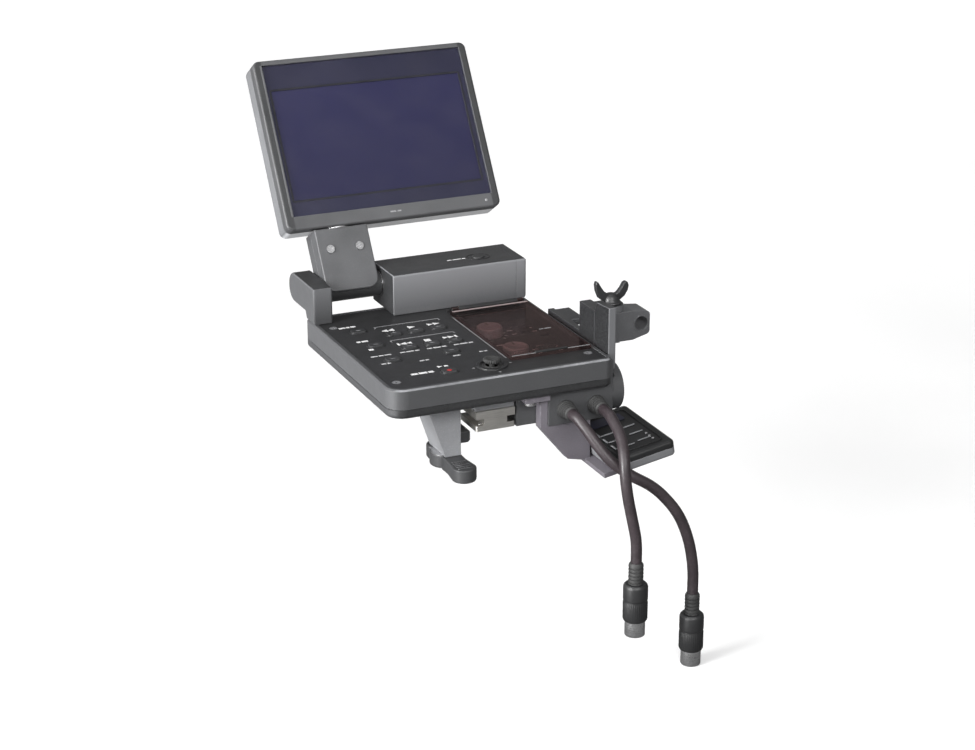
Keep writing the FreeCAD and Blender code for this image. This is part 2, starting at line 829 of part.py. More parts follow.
def audio_cover():
    """Smoked lid over the audio controls, with two hinge knuckles along its far edge."""
    body = new_body("audio_cover")
    top = "cover_low + cover_thick"
    far = "cover_axis_y - cover_knuckle - 2 * gap"
    plan = corners_of(("cover_left", "cover_right"), ("cover_near", far))
    prism(body, "lid", "XY", ("cover_low", top), plan)
    dress(body, "Fillet", "corners", "key_round", upright_at(*plan[:2]))
    dress(body, "Chamfer", "crown", "key_crown", lambda e: lies_at(e, Z_AXIS, top))
    for name, x in cover_knuckles():
        start = (x, "cover_axis_y", "cover_axis_z")
        tongue_y = (f"{far} - past", "cover_axis_y")
        box(body, name + "_tongue", (x, f"{x} + cover_lug"), tongue_y, ("cover_low + gap", top))
        rod(body, name, start, "cover_knuckle", "cover_lug", "right")
        bore = (f"{x} - past", *start[1:])
        rod(body, name + "_bore", bore, "cover_pin + running", "cover_lug + 2 * past", "right", cut=True)
    return on_deck(body)


def cover_hinge():
    """Fixed hinge rail on the deck: a long knuckle between the lid's two, and the pin through all."""
    body = new_body("cover_hinge")
    start = "knuckle_left + cover_lug + gap"
    end = "knuckle_right - gap"
    middle = (start, "cover_axis_y", "cover_axis_z")
    rod(body, "knuckle", middle, "cover_knuckle", f"{end} - ({start})", "right")
    box(body, "foot", (start, end), ("cover_axis_y", "cover_far"), ("cover_low", "cover_axis_z"))
    rail_y = ("cover_axis_y + cover_knuckle + gap", "cover_far")
    box(body, "rail", ("cover_left", "cover_right"), rail_y, ("cover_low", "cover_axis_z"))
    pin_start = "knuckle_left - gap"
    pin = (pin_start, "cover_axis_y", "cover_axis_z")
    pin_long = f"knuckle_right + cover_lug + gap - ({pin_start})"
    rod(body, "pin", pin, "cover_pin", pin_long, "right")
    return on_deck(body)


# Tilt hinge


def left_ear():
    """Ear on the housing's left side that holds one end of the hinge shaft."""
    body = new_body("left_ear")
    far_low = ("ear_tip", "ear_low")
    side = (
        ("ear_near", "gap"),
        ("ear_near + ear_root", "gap"),
        ("ear_near + ear_root + ear_low / 2", "ear_low"),
        far_low,
        ("ear_tip", "ear_top"),
        ("ear_near", "ear_top"),
    )
    prism(body, "side", "YZ", (0, "ear_wide"), side)
    tip = lambda e: runs_along(e, X_AXIS) and abs(e.CenterOfMass.y - number("ear_tip")) < NEAR
    dress(body, "Fillet", "lobe", "ear_lobe", tip)
    sides = lambda e: lies_at(e, X_AXIS, 0) or lies_at(e, X_AXIS, "ear_wide")
    dress(body, "Fillet", "edges", "block_round", sides)
    bore = ("shaft_start - gap", "hinge_y", "hinge_z")
    rod(body, "bore", bore, "shaft_radius + running", "ear_wide", "right", cut=True)
    return on_deck(body)


def hinge_shaft():
    body = new_body("hinge_shaft")
    start = ("shaft_start", "hinge_y", "hinge_z")
    rod(body, "rod", start, "shaft_radius", "shaft_end - shaft_start", "right")
    dress(body, "Chamfer", "ends", "key_crown", lambda e: lies_at(e, X_AXIS, "shaft_end"))
    return on_deck(body)


def block_profile():
    """The hinge block's outline seen from the right, in Y and Z."""
    return corners_of(("block_near", "block_far"), ("gap", "block_top"))


def long_top_edges(edge):
    middle = edge.CenterOfMass
    at_side = abs(middle.y - number("block_near")) < NEAR or abs(middle.y - number("block_far")) < NEAR
    return runs_along(edge, X_AXIS) and at_side and abs(middle.z - number("block_top")) < NEAR


def hinge_block():
    """Hollow cover over the friction hinge, open underneath."""
    body = new_body("hinge_block")
    prism(body, "block", "YZ", ("block_left", "block_seam - gap"), block_profile())
    hollow(body, "cavity", "block_wall", Z_AXIS, "gap")
    dress(body, "Fillet", "top", "block_round", long_top_edges)
    dress(body, "Chamfer", "left_end", "key_crown", lambda e: lies_at(e, X_AXIS, "block_left"))
    bore = ("block_left - past", "hinge_y", "hinge_z")
    rod(body, "bore", bore, "shaft_radius + running", "block_wall + 2 * past", "right", cut=True)
    hole = ("lock_x", "lock_y", "block_top - block_wall - past")
    rod(body, "button_hole", hole, "lock_radius + gap", "block_wall + 2 * past", cut=True)
    return on_deck(body)


def hinge_block_cap():
    """Solid end cap that closes the right end of the hinge block."""
    body = new_body("hinge_block_cap")
    prism(body, "cap", "YZ", ("block_seam", "block_right"), block_profile())
    dress(body, "Fillet", "top", "block_round", long_top_edges)
    dress(body, "Chamfer", "right_end", "block_bevel", lambda e: lies_at(e, X_AXIS, "block_right"))
    return on_deck(body)


def mirror_button():
    """Round button in the top of the hinge block, kept in by a flange."""
    body = new_body("button_mirror")
    rod(body, "cap", (0, 0, "-lock_tall"), "lock_radius", "lock_tall + key_proud")
    dress(body, "Fillet", "crown", "key_crown", lambda e: lies_at(e, Z_AXIS, "key_proud"))
    rod(body, "flange", (0, 0, "-lock_tall"), "lock_radius + key_flange", "key_flange / 2")
    return on_deck(body, "lock_x", "lock_y", "block_top")


def tilt_barrel():
    """Sleeve around the shaft that carries the arm."""
    body = new_body("tilt_barrel")
    length = "barrel_end - barrel_start"
    rod(body, "sleeve", ("barrel_start", 0, 0), "barrel_radius", length, "right")
    dress(body, "Chamfer", "ends", "key_crown", lambda e: not is_straight(e))
    bore = ("barrel_start - past", 0, 0)
    rod(body, "bore", bore, "shaft_radius + running", f"{length} + 2 * past", "right", cut=True)
    return on_screen(body)


def arm_half(label, y_span, face):
    """One half of the arm, cut to fit the barrel, the swivel shaft and the two screws."""
    body = new_body(label)
    front = corners_of(("arm_left", "arm_right"), ("arm_low", "arm_top"))
    prism(body, "plate", "XZ", y_span, front)
    low = lambda e: runs_along(e, Y_AXIS) and abs(e.CenterOfMass.z - number("arm_low")) < NEAR
    dress(body, "Fillet", "shoulders", "arm_round", low)
    dress(body, "Fillet", "edge", "arm_edge", lambda e: lies_at(e, Y_AXIS, face))
    barrel = ("arm_left - past", 0, 0)
    rod(body, "saddle", barrel, "barrel_radius + running", "deck_width", "right", cut=True)
    swivel = ("swivel_x", 0, "swivel_low - gap")
    rod(body, "swivel_bore", swivel, "swivel_radius + running", "deck_width", cut=True)
    for name, x in (("left", "swivel_x - arm_screw_side"), ("right", "swivel_x + arm_screw_side")):
        start = (x, "-arm_half - past", "arm_screw_up")
        rod(body, f"{name}_bore", start, "boss_bore", "arm_half + past + small_reach", "far", cut=True)
        if face == "-arm_half":
            seat_deep = "past + gap + head_tall / 2"
            rod(body, f"{name}_seat", start, "head_radius + gap", seat_deep, "far", cut=True)
    return on_screen(body)


def swivel_shaft():
    """Shaft and collar on which the screen turns in the arm."""
    body = new_body("swivel_shaft")
    start = ("swivel_x", 0, "swivel_low")
    rod(body, "shaft", start, "swivel_radius", "swivel_high - swivel_low")
    rod(body, "collar", ("swivel_x", 0, "collar_low"), "collar_radius", "collar_high - collar_low")
    return on_screen(body)


# Screen


def screen_outline():
    return corners_of(("screen_left", "screen_right"), ("screen_low", "screen_high"))


def screen_corner(edge):
    return runs_along(edge, Y_AXIS)


def shaft_hole(body):
    start = ("swivel_x", 0, "screen_low - past")
    rod(body, "shaft_hole", start, "swivel_radius + running", "bezel_wall + 2 * past", cut=True)


def screen_rear_shell():
    """Rear shell of the screen, hollow and open towards the front."""
    body = new_body("screen_rear_shell")
    prism(body, "shell", "XZ", ("screen_seam", "screen_half"), screen_outline())
    dress(body, "Fillet", "corners", "screen_corner", screen_corner)
    dress(body, "Fillet", "rear_edge", "screen_edge", lambda e: lies_at(e, Y_AXIS, "screen_half"))
    hollow(body, "cavity", "screen_wall", Y_AXIS, "screen_seam")
    shaft_hole(body)
    return on_screen(body)


def screen_front_bezel():
    """Front frame of the screen with the window opening."""
    body = new_body("screen_front_bezel")
    prism(body, "frame", "XZ", ("-screen_half", "screen_seam - gap"), screen_outline())
    dress(body, "Fillet", "corners", "screen_corner", screen_corner)
    dress(body, "Fillet", "front_edge", "bezel_edge", lambda e: lies_at(e, Y_AXIS, "-screen_half"))
    room_x = ("screen_left + bezel_wall", "screen_right - bezel_wall")
    room_z = ("screen_low + bezel_wall", "screen_high - bezel_wall")
    box(body, "room", room_x, ("front_wall - screen_half", 0), room_z, cut=True)
    hole_x = ("window_left - gap", "window_right + gap")
    hole_z = ("window_low - gap", "window_high + gap")
    box(body, "opening", hole_x, ("-screen_half - past", 0), hole_z, cut=True)
    shaft_hole(body)
    return on_screen(body)


def screen_window():
    """Clear window set a little below the bezel's face."""
    body = new_body("screen_window")
    pane = corners_of(("window_left", "window_right"), ("window_low", "window_high"))
    prism(body, "pane", "XZ", ("window_face", "window_face + window_thick"), pane)
    return on_screen(body)


def lcd_module():
    """Display panel with its backlight and driver board."""
    body = new_body("lcd_module")
    panel_x = ("panel_left", "panel_right")
    box(body, "panel", panel_x, ("panel_face", "panel_back"), ("panel_low", "panel_high"))
    board_x = ("panel_left + screen_corner", "panel_right - screen_corner")
    board_y = ("panel_back - gap", "panel_back + board_thick")
    box(body, "driver", board_x, board_y, ("panel_low + screen_corner", "panel_high - screen_corner"))
    return on_screen(body)


# Microphone sockets


def sockets():
    return (("near_socket", "socket_near"), ("far_socket", "socket_far"))


def xlr_block():
    """Stepped block under the housing with two microphone sockets on its right face."""
    body = new_body("xlr_block")
    below = ("xlr_low", "-wall_height - gap")
    box(body, "main", ("xlr_left", "xlr_skin"), ("xlr_back", "xlr_far"), below)
    box(body, "front", ("xlr_step", "xlr_skin"), ("xlr_near", "xlr_back + past"), below)
    inside = ("-wall_height - 2 * gap", "xlr_top")
    box(body, "inside", ("xlr_inner", "xlr_skin"), ("xlr_near", "xlr_far"), inside)
    boss = ("screw_right", "screw_near", "xlr_top - gap")
    rod(body, "screw_boss", boss, "boss_radius", "boss_top - xlr_top + gap")
    rod(body, "screw_bore", boss, "boss_bore", "boss_top - xlr_top + past", cut=True)
    skin_x = ("deck_width + gap", "xlr_skin")
    box(body, "skin", skin_x, ("xlr_near", "xlr_far"), ("xlr_top - past", "skin_top"))
    for name, y in sockets():
        collar = ("xlr_skin - gap", y, "socket_z")
        rod(body, name + "_collar", collar, "socket_ring", "socket_mouth - xlr_skin + gap", "right")
    for name, y in sockets():
        bore = ("socket_mouth - socket_depth", y, "socket_z")
        rod(body, name + "_bore", bore, "socket_bore", "socket_depth + past", "right", cut=True)
        slot_x = ("deck_width - past", "xlr_skin + past")
        box(body, name + "_slot", slot_x, *lever_slot(y), cut=True)
    return on_deck(body)


def contact_places():
    """The three contact centres around a socket's axis, as Y and Z offsets."""
    angles = (90, 210, 330)
    return [(f"contact_circle * cos({a})", f"contact_circle * sin({a})") for a in angles]


def round_bar(name, start, radius, length):
    """A plain cylinder along X in deck coordinates."""
    bar = DOC.addObject("Part::Cylinder", name)
    bar.Placement = FreeCAD.Placement(Vector(), TURN_TO["right"])
    bind(bar, "Radius", radius)
    bind(bar, "Height", length)
    locate(bar, *start)
    return bar


def drilled(name, blank, drills):
    """A blank with holes cut through it."""
    tools = DOC.addObject("Part::MultiFuse", name + "_drills")
    tools.Shapes = drills
    cut = DOC.addObject("Part::Cut", name)
    cut.Base = blank
    cut.Tool = tools if len(drills) > 1 else drills[0]
    if len(drills) == 1:
        DOC.removeObject(tools.Name)
    return cut


def group(label, members):
    """Several separate solids of one kind kept as one sub-part."""
    compound = DOC.addObject("Part::Compound", label)
    compound.Links = members
    return keep(compound, label)


def xlr_inserts():
    """Insulating inserts, one in each socket, each pierced for three contacts."""
    inserts = []
    for socket, y in sockets():
        length = "insert_end - insert_start"
        start = ("insert_start", y, "socket_z")
        blank = round_bar(f"{socket}_insert_blank", start, "insert_radius", length)
        drills = []
        for index, (dy, dz) in enumerate(contact_places()):
            start = ("contact_start - gap", f"{y} + {dy}", f"socket_z + {dz}")
            drills.append(round_bar(f"{socket}_hole_{index}", start, "contact_radius + running", length))
        inserts.append(drilled(socket + "_insert", blank, drills))
    return on_deck(group("xlr_inserts", inserts))


def xlr_contacts():
    """Tubular contacts, three in each insert."""
    tubes = []
    for socket, y in sockets():
        for index, (dy, dz) in enumerate(contact_places()):
            place = (f"{y} + {dy}", f"socket_z + {dz}")
            length = "insert_end - contact_start - gap"
            start = ("contact_start", *place)
            blank = round_bar(f"{socket}_pin_{index}", start, "contact_radius", length)
            bore_start = ("contact_start + past", *place)
            bore = round_bar(f"{socket}_bore_{index}", bore_start, "contact_bore", "deck_width")
            tubes.append(drilled(f"{socket}_contact_{index}", blank, [bore]))
    return on_deck(group("xlr_contacts", tubes))


def xlr_lever(name, y):
    """Push tab above a socket that frees the plug."""
    body = new_body(name)
    across = ("-lever_wide / 2", "lever_wide / 2")
    box(body, "tab", ("lever_start", "lever_end"), across, ("lever_low", "lever_high"))
    dress(body, "Fillet", "tip", "key_crown", lambda e: lies_at(e, X_AXIS, "lever_end"))
    return on_deck(body, 0, y)


# Foot


def foot_casting():
    """Flange under the housing with the shoe's neck and the clamp post."""
    body = new_body("foot_casting")
    flange_z = ("flange_low", "-wall_height - gap")
    plan = corners_of(("flange_left", "flange_right"), ("flange_near", "flange_far"))
    prism(body, "flange", "XY", flange_z, plan)
    dress(body, "Fillet", "flange_corners", "far_corner", upright_at(*plan))
    neck_x = ("foot_x - shoe_wide / 2", "foot_x + shoe_wide / 2")
    neck_y = ("foot_y - shoe_long / 2 + past", "foot_y + shoe_long / 2 + past")
    box(body, "neck", neck_x, neck_y, ("shoe_top + gap", "flange_low + gap"))
    post = (
        ("post_left", "flange_low + gap"),
        ("post_foot", "post_low"),
        ("post_right", "post_low"),
        ("post_right", "flange_low + gap"),
    )
    prism(body, "post", "XZ", ("post_near", "post_far"), post)
    slot_x = ("post_foot + past", "post_right + past")
    slot_z = ("jaw_slot_low", "jaw_slot_top")
    box(body, "jaw_slot", slot_x, ("jaw_slot_near", "jaw_slot_far"), slot_z, cut=True)
    bolt = ("lever_x", "lever_y", "post_low - past")
    rod(body, "bolt_bore", bolt, "lever_bolt + running", "post_bore_deep", cut=True)
    for index, (x, y) in enumerate(foot_screws()):
        start = (x, y, "flange_low - past")
        rod(body, f"bore_{index}", start, "bolt_bore", "bolt_bore_deep + past", cut=True)
    return on_deck(body)


def shoe_foot():
    """Metal accessory-shoe foot with a grip plate above its neck."""
    body = new_body("shoe_foot")
    wide_x = ("foot_x - shoe_wide / 2", "foot_x + shoe_wide / 2")
    long_y = ("foot_y - shoe_long / 2", "foot_y + shoe_long / 2")
    neck_x = ("foot_x - shoe_neck / 2", "foot_x + shoe_neck / 2")
    prism(body, "plate", "XY", ("-deck_top", "shoe_thick - deck_top"), corners_of(wide_x, long_y))
    dress(body, "Chamfer", "lead_in", "dial_grip", upright_at(*corners_of(wide_x, long_y)))
    box(body, "neck", neck_x, long_y, ("shoe_thick - deck_top - gap", "shoe_neck_top + gap"))
    box(body, "grip", wide_x, long_y, ("shoe_neck_top", "shoe_top"))
    return on_deck(body)


def lock_lever():
    """Cam lever under the post: hub, arm with rounded ends and the bolt it turns."""
    body = new_body("lock_lever")
    arm_z = ("lever_bottom", "lever_top")
    thick = "lever_top - lever_bottom"
    box(body, "arm", ("-lever_tip", "lever_tip"), ("-lever_reach", "lever_back"), arm_z)
    rod(body, "near_end", (0, "-lever_reach", arm_z[0]), "lever_tip", thick)
    rod(body, "far_end", (0, "lever_back", arm_z[0]), "lever_tip", thick)
    rod(body, "hub", (0, 0, arm_z[0]), "lever_hub", f"{thick} + gap")
    rod(body, "bolt", (0, 0, "lever_top"), "lever_bolt", "lever_bolt_long")
    return on_deck(body, "lever_x", "lever_y")


def clamp_jaw():
    """Hook that the lever draws up against the underside of the rail."""
    body = new_body("clamp_jaw")
    jaw_x = ("post_foot + past + gap", "jaw_tip")
    jaw_y = ("jaw_slot_near + gap", "jaw_slot_far - gap")
    box(body, "jaw", jaw_x, jaw_y, ("jaw_low", "jaw_top"))
    at_tip = lambda e: lies_at(e, X_AXIS, "jaw_tip") and lies_at(e, Z_AXIS, "jaw_low")
    dress(body, "Chamfer", "lip", "past", at_tip)
    bore = ("lever_x", "lever_y", "jaw_low - past")
    rod(body, "bore", bore, "lever_bolt + gap", "jaw_top - jaw_low + 2 * past", cut=True)
    return on_deck(body)


# Receiver


def shelf_point(along, up):
    """A place on the tilted shelf's section, in X and Z, from the receiver's corner."""
    x = f"receiver_x + ({along}) * cos(receiver_roll) - ({up}) * sin(receiver_roll)"
    z = f"receiver_z + ({along}) * sin(receiver_roll) + ({up}) * cos(receiver_roll)"
    return x, z


def receiver_bracket():
    """Folded bracket: a lug under the housing, a web beside the sockets and a tilted shelf."""
    body = new_body("receiver_bracket")
    lug_z = ("lug_low", "-wall_height - gap")
    lug_y = ("lug_near", "web_far")
    box(body, "lug", ("lug_left", "xlr_step - gap"), lug_y, lug_z)
    web = (
        ("web_left", "-wall_height - gap"),
        ("xlr_step - gap", "-wall_height - gap"),
        ("xlr_step - gap", "xlr_low - gap"),
        ("web_right", "xlr_low - gap"),
        ("web_right", "web_low"),
        ("web_foot", "web_foot_low"),
        ("web_left", "web_drop"),
    )
    prism(body, "web", "XZ", ("web_near", "web_far"), web)
    shelf = (
        shelf_point("-tray_lip", "-gap - shelf_thick"),
        shelf_point("shelf_wide - tray_lip", "-gap - shelf_thick"),
        shelf_point("shelf_wide - tray_lip", "-gap"),
        shelf_point("-tray_lip", "-gap"),
    )
    prism(body, "shelf", "XZ", ("shelf_near", "shelf_reach"), shelf)
    for index, (x, y) in enumerate(bracket_screws()):
        rod(body, f"bore_{index}", (x, y, "lug_low - past"), "bolt_bore", "bolt_bore_deep", cut=True)
    return on_deck(body)


def receiver_outline():
    return corners_of((0, "receiver_wide"), (0, "receiver_long"))


def receiver_case():
    """Lower half of the receiver's flat case, hollow and open upwards."""
    body = new_body("receiver_case")
    prism(body, "tub", "XY", (0, "receiver_seam"), receiver_outline())
    dress(body, "Fillet", "corners", "receiver_corner", upright_at(*receiver_outline()))
    dress(body, "Fillet", "base", "receiver_round", lambda e: lies_at(e, Z_AXIS, 0))
    hollow(body, "cavity", "receiver_wall", Z_AXIS, "receiver_seam")
    return on_receiver(body)


def receiver_lid():
    """Upper half of the receiver's flat case."""
    body = new_body("receiver_lid")
    low = "receiver_seam + gap"
    prism(body, "lid", "XY", (low, "receiver_tall"), receiver_outline())
    dress(body, "Fillet", "corners", "receiver_corner", upright_at(*receiver_outline()))
    dress(body, "Fillet", "crown", "receiver_round", lambda e: lies_at(e, Z_AXIS, "receiver_tall"))
    hollow(body, "cavity", "receiver_wall", Z_AXIS, low)
    return on_receiver(body)


def receiver_board():
    """Radio circuit board with its shielding can."""
    body = new_body("receiver_board")
    board_x = ("receiver_board_inset", "receiver_wide - receiver_board_inset")
    board_y = ("receiver_board_inset", "receiver_long - receiver_board_inset")
    board_z = ("receiver_wall + gap", "receiver_wall + gap + board_thick")
    box(body, "board", board_x, board_y, board_z)
    can_x = ("receiver_board_inset * 2", "receiver_wide - receiver_board_inset * 2")
    can_y = ("receiver_board_inset * 2", "receiver_long / 2")
    can_z = (f"{board_z[1]} - gap", f"{board_z[1]} + chip_tall")
    box(body, "can", can_x, can_y, can_z)
    return on_receiver(body)


# Microphone arm


def mic_arm_base():
    """Bracket on the housing's right side with a riser and a lug over the arm."""
    body = new_body("mic_arm_base")
    plate_x = ("mic_left", "mic_plate")
    top = "mic_top"
    box(body, "rail", plate_x, ("mic_near", "mic_drop + past"), ("mic_rail_low", top))
    box(body, "plate", plate_x, ("mic_drop", "mic_far"), ("mic_low", top))
    ledge_x = ("mic_plate - gap", "ledge_right")
    box(body, "ledge", ledge_x, ("ledge_near", "ledge_far"), ("ledge_low", top))
    riser_x = ("mic_left", "riser_right")
    box(body, "riser", riser_x, ("mic_near", "riser_far"), (f"{top} - gap", "riser_top"))
    lug_y = ("mic_axis_y - mic_half", "mic_axis_y + mic_half")
    lug_z = ("lug_top_low", "riser_top")
    box(body, "lug", ("riser_right - gap", "mic_axis_x"), lug_y, lug_z)
    axis = ("mic_axis_x", "mic_axis_y")
    rod(body, "lug_end", (*axis, lug_z[0]), "mic_half", "riser_top - lug_top_low")
    rod(body, "bolt_bore", (*axis, f"{lug_z[0]} - past"), "wing_bolt + running", "deck_top", cut=True)
    for index, y in enumerate(mic_screws()):
        start = ("mic_left - past", y, "mic_screw_z")
        rod(body, f"bore_{index}", start, "bolt_bore", "deck_top", "right", cut=True)
    return on_deck(body)


def mic_arm():
    """Swinging arm with a rounded hub and a cross hole for the microphone mount."""
    body = new_body("mic_arm")
    end = "mic_bar_end - mic_axis_x"
    side = (
        (0, "mic_bar_low"),
        (f"({end}) / 2", "mic_bar_low"),
        (end, "mic_bar_end_low"),
        (end, "mic_bar_top - past"),
        (f"({end}) / 2", "mic_bar_top"),
        (0, "mic_bar_top"),
    )
    prism(body, "bar", "XZ", ("-mic_half", "mic_half"), side)
    at_end = lambda e: lies_at(e, X_AXIS, end) and runs_along(e, Y_AXIS)
    dress(body, "Fillet", "end", "mic_end_round", at_end)
    tall = "mic_bar_top - mic_bar_low"
    rod(body, "hub", (0, 0, "mic_bar_low"), "mic_half", tall)
    bore = (0, 0, "mic_bar_low - past")
    rod(body, "bolt_bore", bore, "wing_bolt + running", f"{tall} + 2 * past", cut=True)
    hole = ("mic_hole_x - mic_axis_x", "-mic_half - past", "mic_hole_z")
    rod(body, "cross_hole", hole, "mic_hole", "2 * mic_half + 2 * past", "far", cut=True)
    return on_deck(body, "mic_axis_x", "mic_axis_y")


def wing_screw():
    """Thumb screw with two wings that locks the microphone arm."""
    body = new_body("wing_screw")
    rod(body, "bolt", (0, 0, 0), "wing_bolt", "riser_top + 2 * gap")
    rod(body, "hub", (0, 0, "riser_top + gap"), "wing_hub", "wing_hub_top - riser_top")
    base = "riser_top + past"
    wings = (
        ("-wing_hub / 2", base),
        ("wing_hub / 2", base),
        ("wing_span - past", "wing_hub_top"),
        ("wing_span", "wing_top"),
        ("wing_shoulder", "wing_top - past"),
        (0, "wing_hub_top + past"),
        ("-wing_shoulder", "wing_top - past"),
        ("-wing_span", "wing_top"),
        ("past - wing_span", "wing_hub_top"),
    )
    prism(body, "wings", "XZ", ("-wing_half", "wing_half"), wings)
    return on_deck(body, "mic_axis_x", "mic_axis_y")


# Cables


def round_corner(before, corner, after):
    """Start, middle and end of the arc that rounds a corner of a route."""
    back = (before - corner).normalize()
    ahead = (after - corner).normalize()
    bisector = (back + ahead).normalize()
    reach = min(before.distanceToPoint(corner), after.distanceToPoint(corner)) / 2
    cosine = bisector.dot(back)
    radius = reach * math.sqrt(1 - cosine**2) / cosine
    middle = corner + bisector * (reach / cosine - radius)
    return corner + back * reach, middle, corner + ahead * reach


def cable(label, route):
    """A captive cable: a round section carried along straight runs joined by arcs."""
    points = [Vector(*point) for point in route]
    edges = []
    here = points[0]
    for before, corner, after in zip(points, points[1:], points[2:]):
        start, middle, end = round_corner(before, corner, after)
        if here.distanceToPoint(start) > SHORTEST_RUN:
            edges.append(Part.makeLine(here, start))
        edges.append(Part.Arc(start, middle, end).toShape())
        here = end
    edges.append(Part.makeLine(here, points[-1]))
    circle = Part.Circle(points[0], Y_AXIS, number("cable_radius"))
    section = Part.Face(Part.Wire(circle.toShape()))
    swept = DOC.addObject("Part::Feature", label)
    swept.Shape = Part.Wire(edges).makePipe(section)
    return on_deck(keep(swept, label))


def cable_boots():
    """Strain reliefs where the two cables leave the socket block."""
    boots = []
    for name, x in (("monitor_boot", "cable_a_x"), ("audio_boot", "cable_b_x")):
        boot = DOC.addObject("Part::Cone", name)
        boot.Placement = FreeCAD.Placement(Vector(), TURN_TO["near"])
        bind(boot, "Radius1", "boot_radius")
        bind(boot, "Radius2", "boot_tip")
        bind(boot, "Height", "boot_long - gap")
        locate(boot, x, "xlr_near - gap", "cable_start_z")
        boots.append(boot)
    return on_deck(group("cable_boots", boots))


def cable_plugs():
    """Multi-pin camera plugs hanging from the two cables."""
    plugs = []
    for name, route in (("monitor_plug", MONITOR_ROUTE), ("audio_plug", AUDIO_ROUTE)):
        x, y, z = route[-1]
        steps = (
            ("collar", "plug_collar", "plug_collar_long"),
            ("barrel", "plug_body", "plug_body_long"),
            ("nose", "plug_nose", "plug_nose_long"),
        )
        top = f"{z} - gap"
        pieces = []
        for part, radius, length in steps:
            piece = DOC.addObject("Part::Cylinder", f"{name}_{part}")
            bind(piece, "Radius", radius)
            bind(piece, "Height", length)
            top = f"{top} - ({length})"
            locate(piece, x, y, top)
            pieces.append(piece)
        plug = DOC.addObject("Part::MultiFuse", name)
        plug.Shapes = pieces
        plugs.append(plug)
    return on_deck(group("cable_plugs", plugs))


# Fasteners


def screw(name, sizes, place, facing):
    """A cross-recessed screw whose head's top centre is at a place, its head facing one way."""
    head_radius, head_tall, shank_radius, reach = sizes
    head = DOC.addObject("Part::Cylinder", name + "_head")
    bind(head, "Radius", head_radius)
    bind(head, "Height", head_tall)
    locate(head, 0, 0, f"-({head_tall})")
    shank = DOC.addObject("Part::Cylinder", name + "_shank")
    bind(shank, "Radius", shank_radius)
    bind(shank, "Height", f"{reach} + {head_tall} / 2")
    locate(shank, 0, 0, f"-({head_tall}) - ({reach})")
    blank = DOC.addObject("Part::Fuse", name + "_blank")
    blank.Base = head
    blank.Tool = shank
    slots = []
    arms = (("recess_reach", "recess_half"), ("recess_half", "recess_reach"))
    for index, (half_x, half_y) in enumerate(arms):
        slot = DOC.addObject("Part::Box", f"{name}_slot_{index}")
        bind(slot, "Length", f"2 * {half_x}")
        bind(slot, "Width", f"2 * {half_y}")
        bind(slot, "Height", "recess_deep + past")
        locate(slot, f"-{half_x}", f"-{half_y}", "-recess_deep")
        slots.append(slot)
    finished = drilled(name, blank, slots)
    finished.Placement = FreeCAD.Placement(Vector(), TURN_TO[facing])
    locate(finished, *place)
    return finished


def deck_screws():
    """Small screws that hold the deck plate."""
    sizes = ("head_radius", "head_tall", "small_shank", "small_reach")
    screws = []
    for index, (x, y) in enumerate(deck_screw_places()):
        screws.append(screw(f"deck_screw_{index}", sizes, (x, y, "-plate_drop - gap / 2"), "up"))
    return on_deck(group("deck_screws", screws))


def arm_screws():
    """Bright screws on the front of the arm."""
    sizes = ("head_radius", "head_tall", "small_shank", "arm_half + small_reach / 2")
    face = "-arm_half - head_tall / 2 + gap / 2"
    screws = []
    for name, x in (("left", "swivel_x - arm_screw_side"), ("right", "swivel_x + arm_screw_side")):
        screws.append(screw(f"arm_screw_{name}", sizes, (x, face, "arm_screw_up"), "near"))
    return on_screen(group("arm_screws", screws))


def mounting_screws():
    """Larger screws that hold the foot, the receiver bracket and the microphone bracket."""
    sizes = ("bolt_head", "bolt_head_tall", "bolt_radius", "bolt_reach")
    screws = []
    under = "bolt_head_tall + gap"
    for index, (x, y) in enumerate(foot_screws()):
        screws.append(screw(f"foot_screw_{index}", sizes, (x, y, f"flange_low - ({under})"), "down"))
    short = (*sizes[:3], "bolt_reach - bolt_head_tall")
    for index, (x, y) in enumerate(bracket_screws()):
        screws.append(screw(f"bracket_screw_{index}", short, (x, y, f"lug_low - ({under})"), "down"))
    for index, y in enumerate(mic_screws()):
        place = (f"mic_plate + {under}", y, "mic_screw_z")
        screws.append(screw(f"mic_screw_{index}", sizes, place, "right"))
    return on_deck(group("mounting_screws", screws))


def build_all():
    base_shell()
    top_plate()
    keypad_mat()
    main_board()
    for key in KEYS:
        deck_key(*key)
    joystick_gimbal()
    joystick_cap()
    audio_tray()
    audio_dial("dial_channel_one", "dial_near")
    audio_dial("dial_channel_two", "dial_far")
    audio_switch("switch_channel_one", "switch_near")
    audio_switch("switch_channel_two", "switch_far")
    audio_cover()
    cover_hinge()
    left_ear()
    hinge_shaft()
    hinge_block()
    hinge_block_cap()
    mirror_button()
    tilt_barrel()
    arm_half("arm_rear_half", ("running", "arm_half"), "arm_half")
    arm_half("arm_front_half", ("-arm_half", "-running"), "-arm_half")
    swivel_shaft()
    screen_rear_shell()
    screen_front_bezel()
    screen_window()
    lcd_module()
    xlr_block()
    xlr_inserts()
    xlr_contacts()
    xlr_lever("xlr_lever_one", "socket_near")
    xlr_lever("xlr_lever_two", "socket_far")
    foot_casting()
    shoe_foot()
    lock_lever()
    clamp_jaw()
    receiver_bracket()
    receiver_case()
    receiver_lid()
    receiver_board()
    mic_arm_base()
    mic_arm()
    wing_screw()
    cable("monitor_cable", MONITOR_ROUTE)
    cable("audio_cable", AUDIO_ROUTE)
    cable_boots()
    cable_plugs()
    deck_screws()
    arm_screws()
    mounting_screws()
    DOC.recompute()


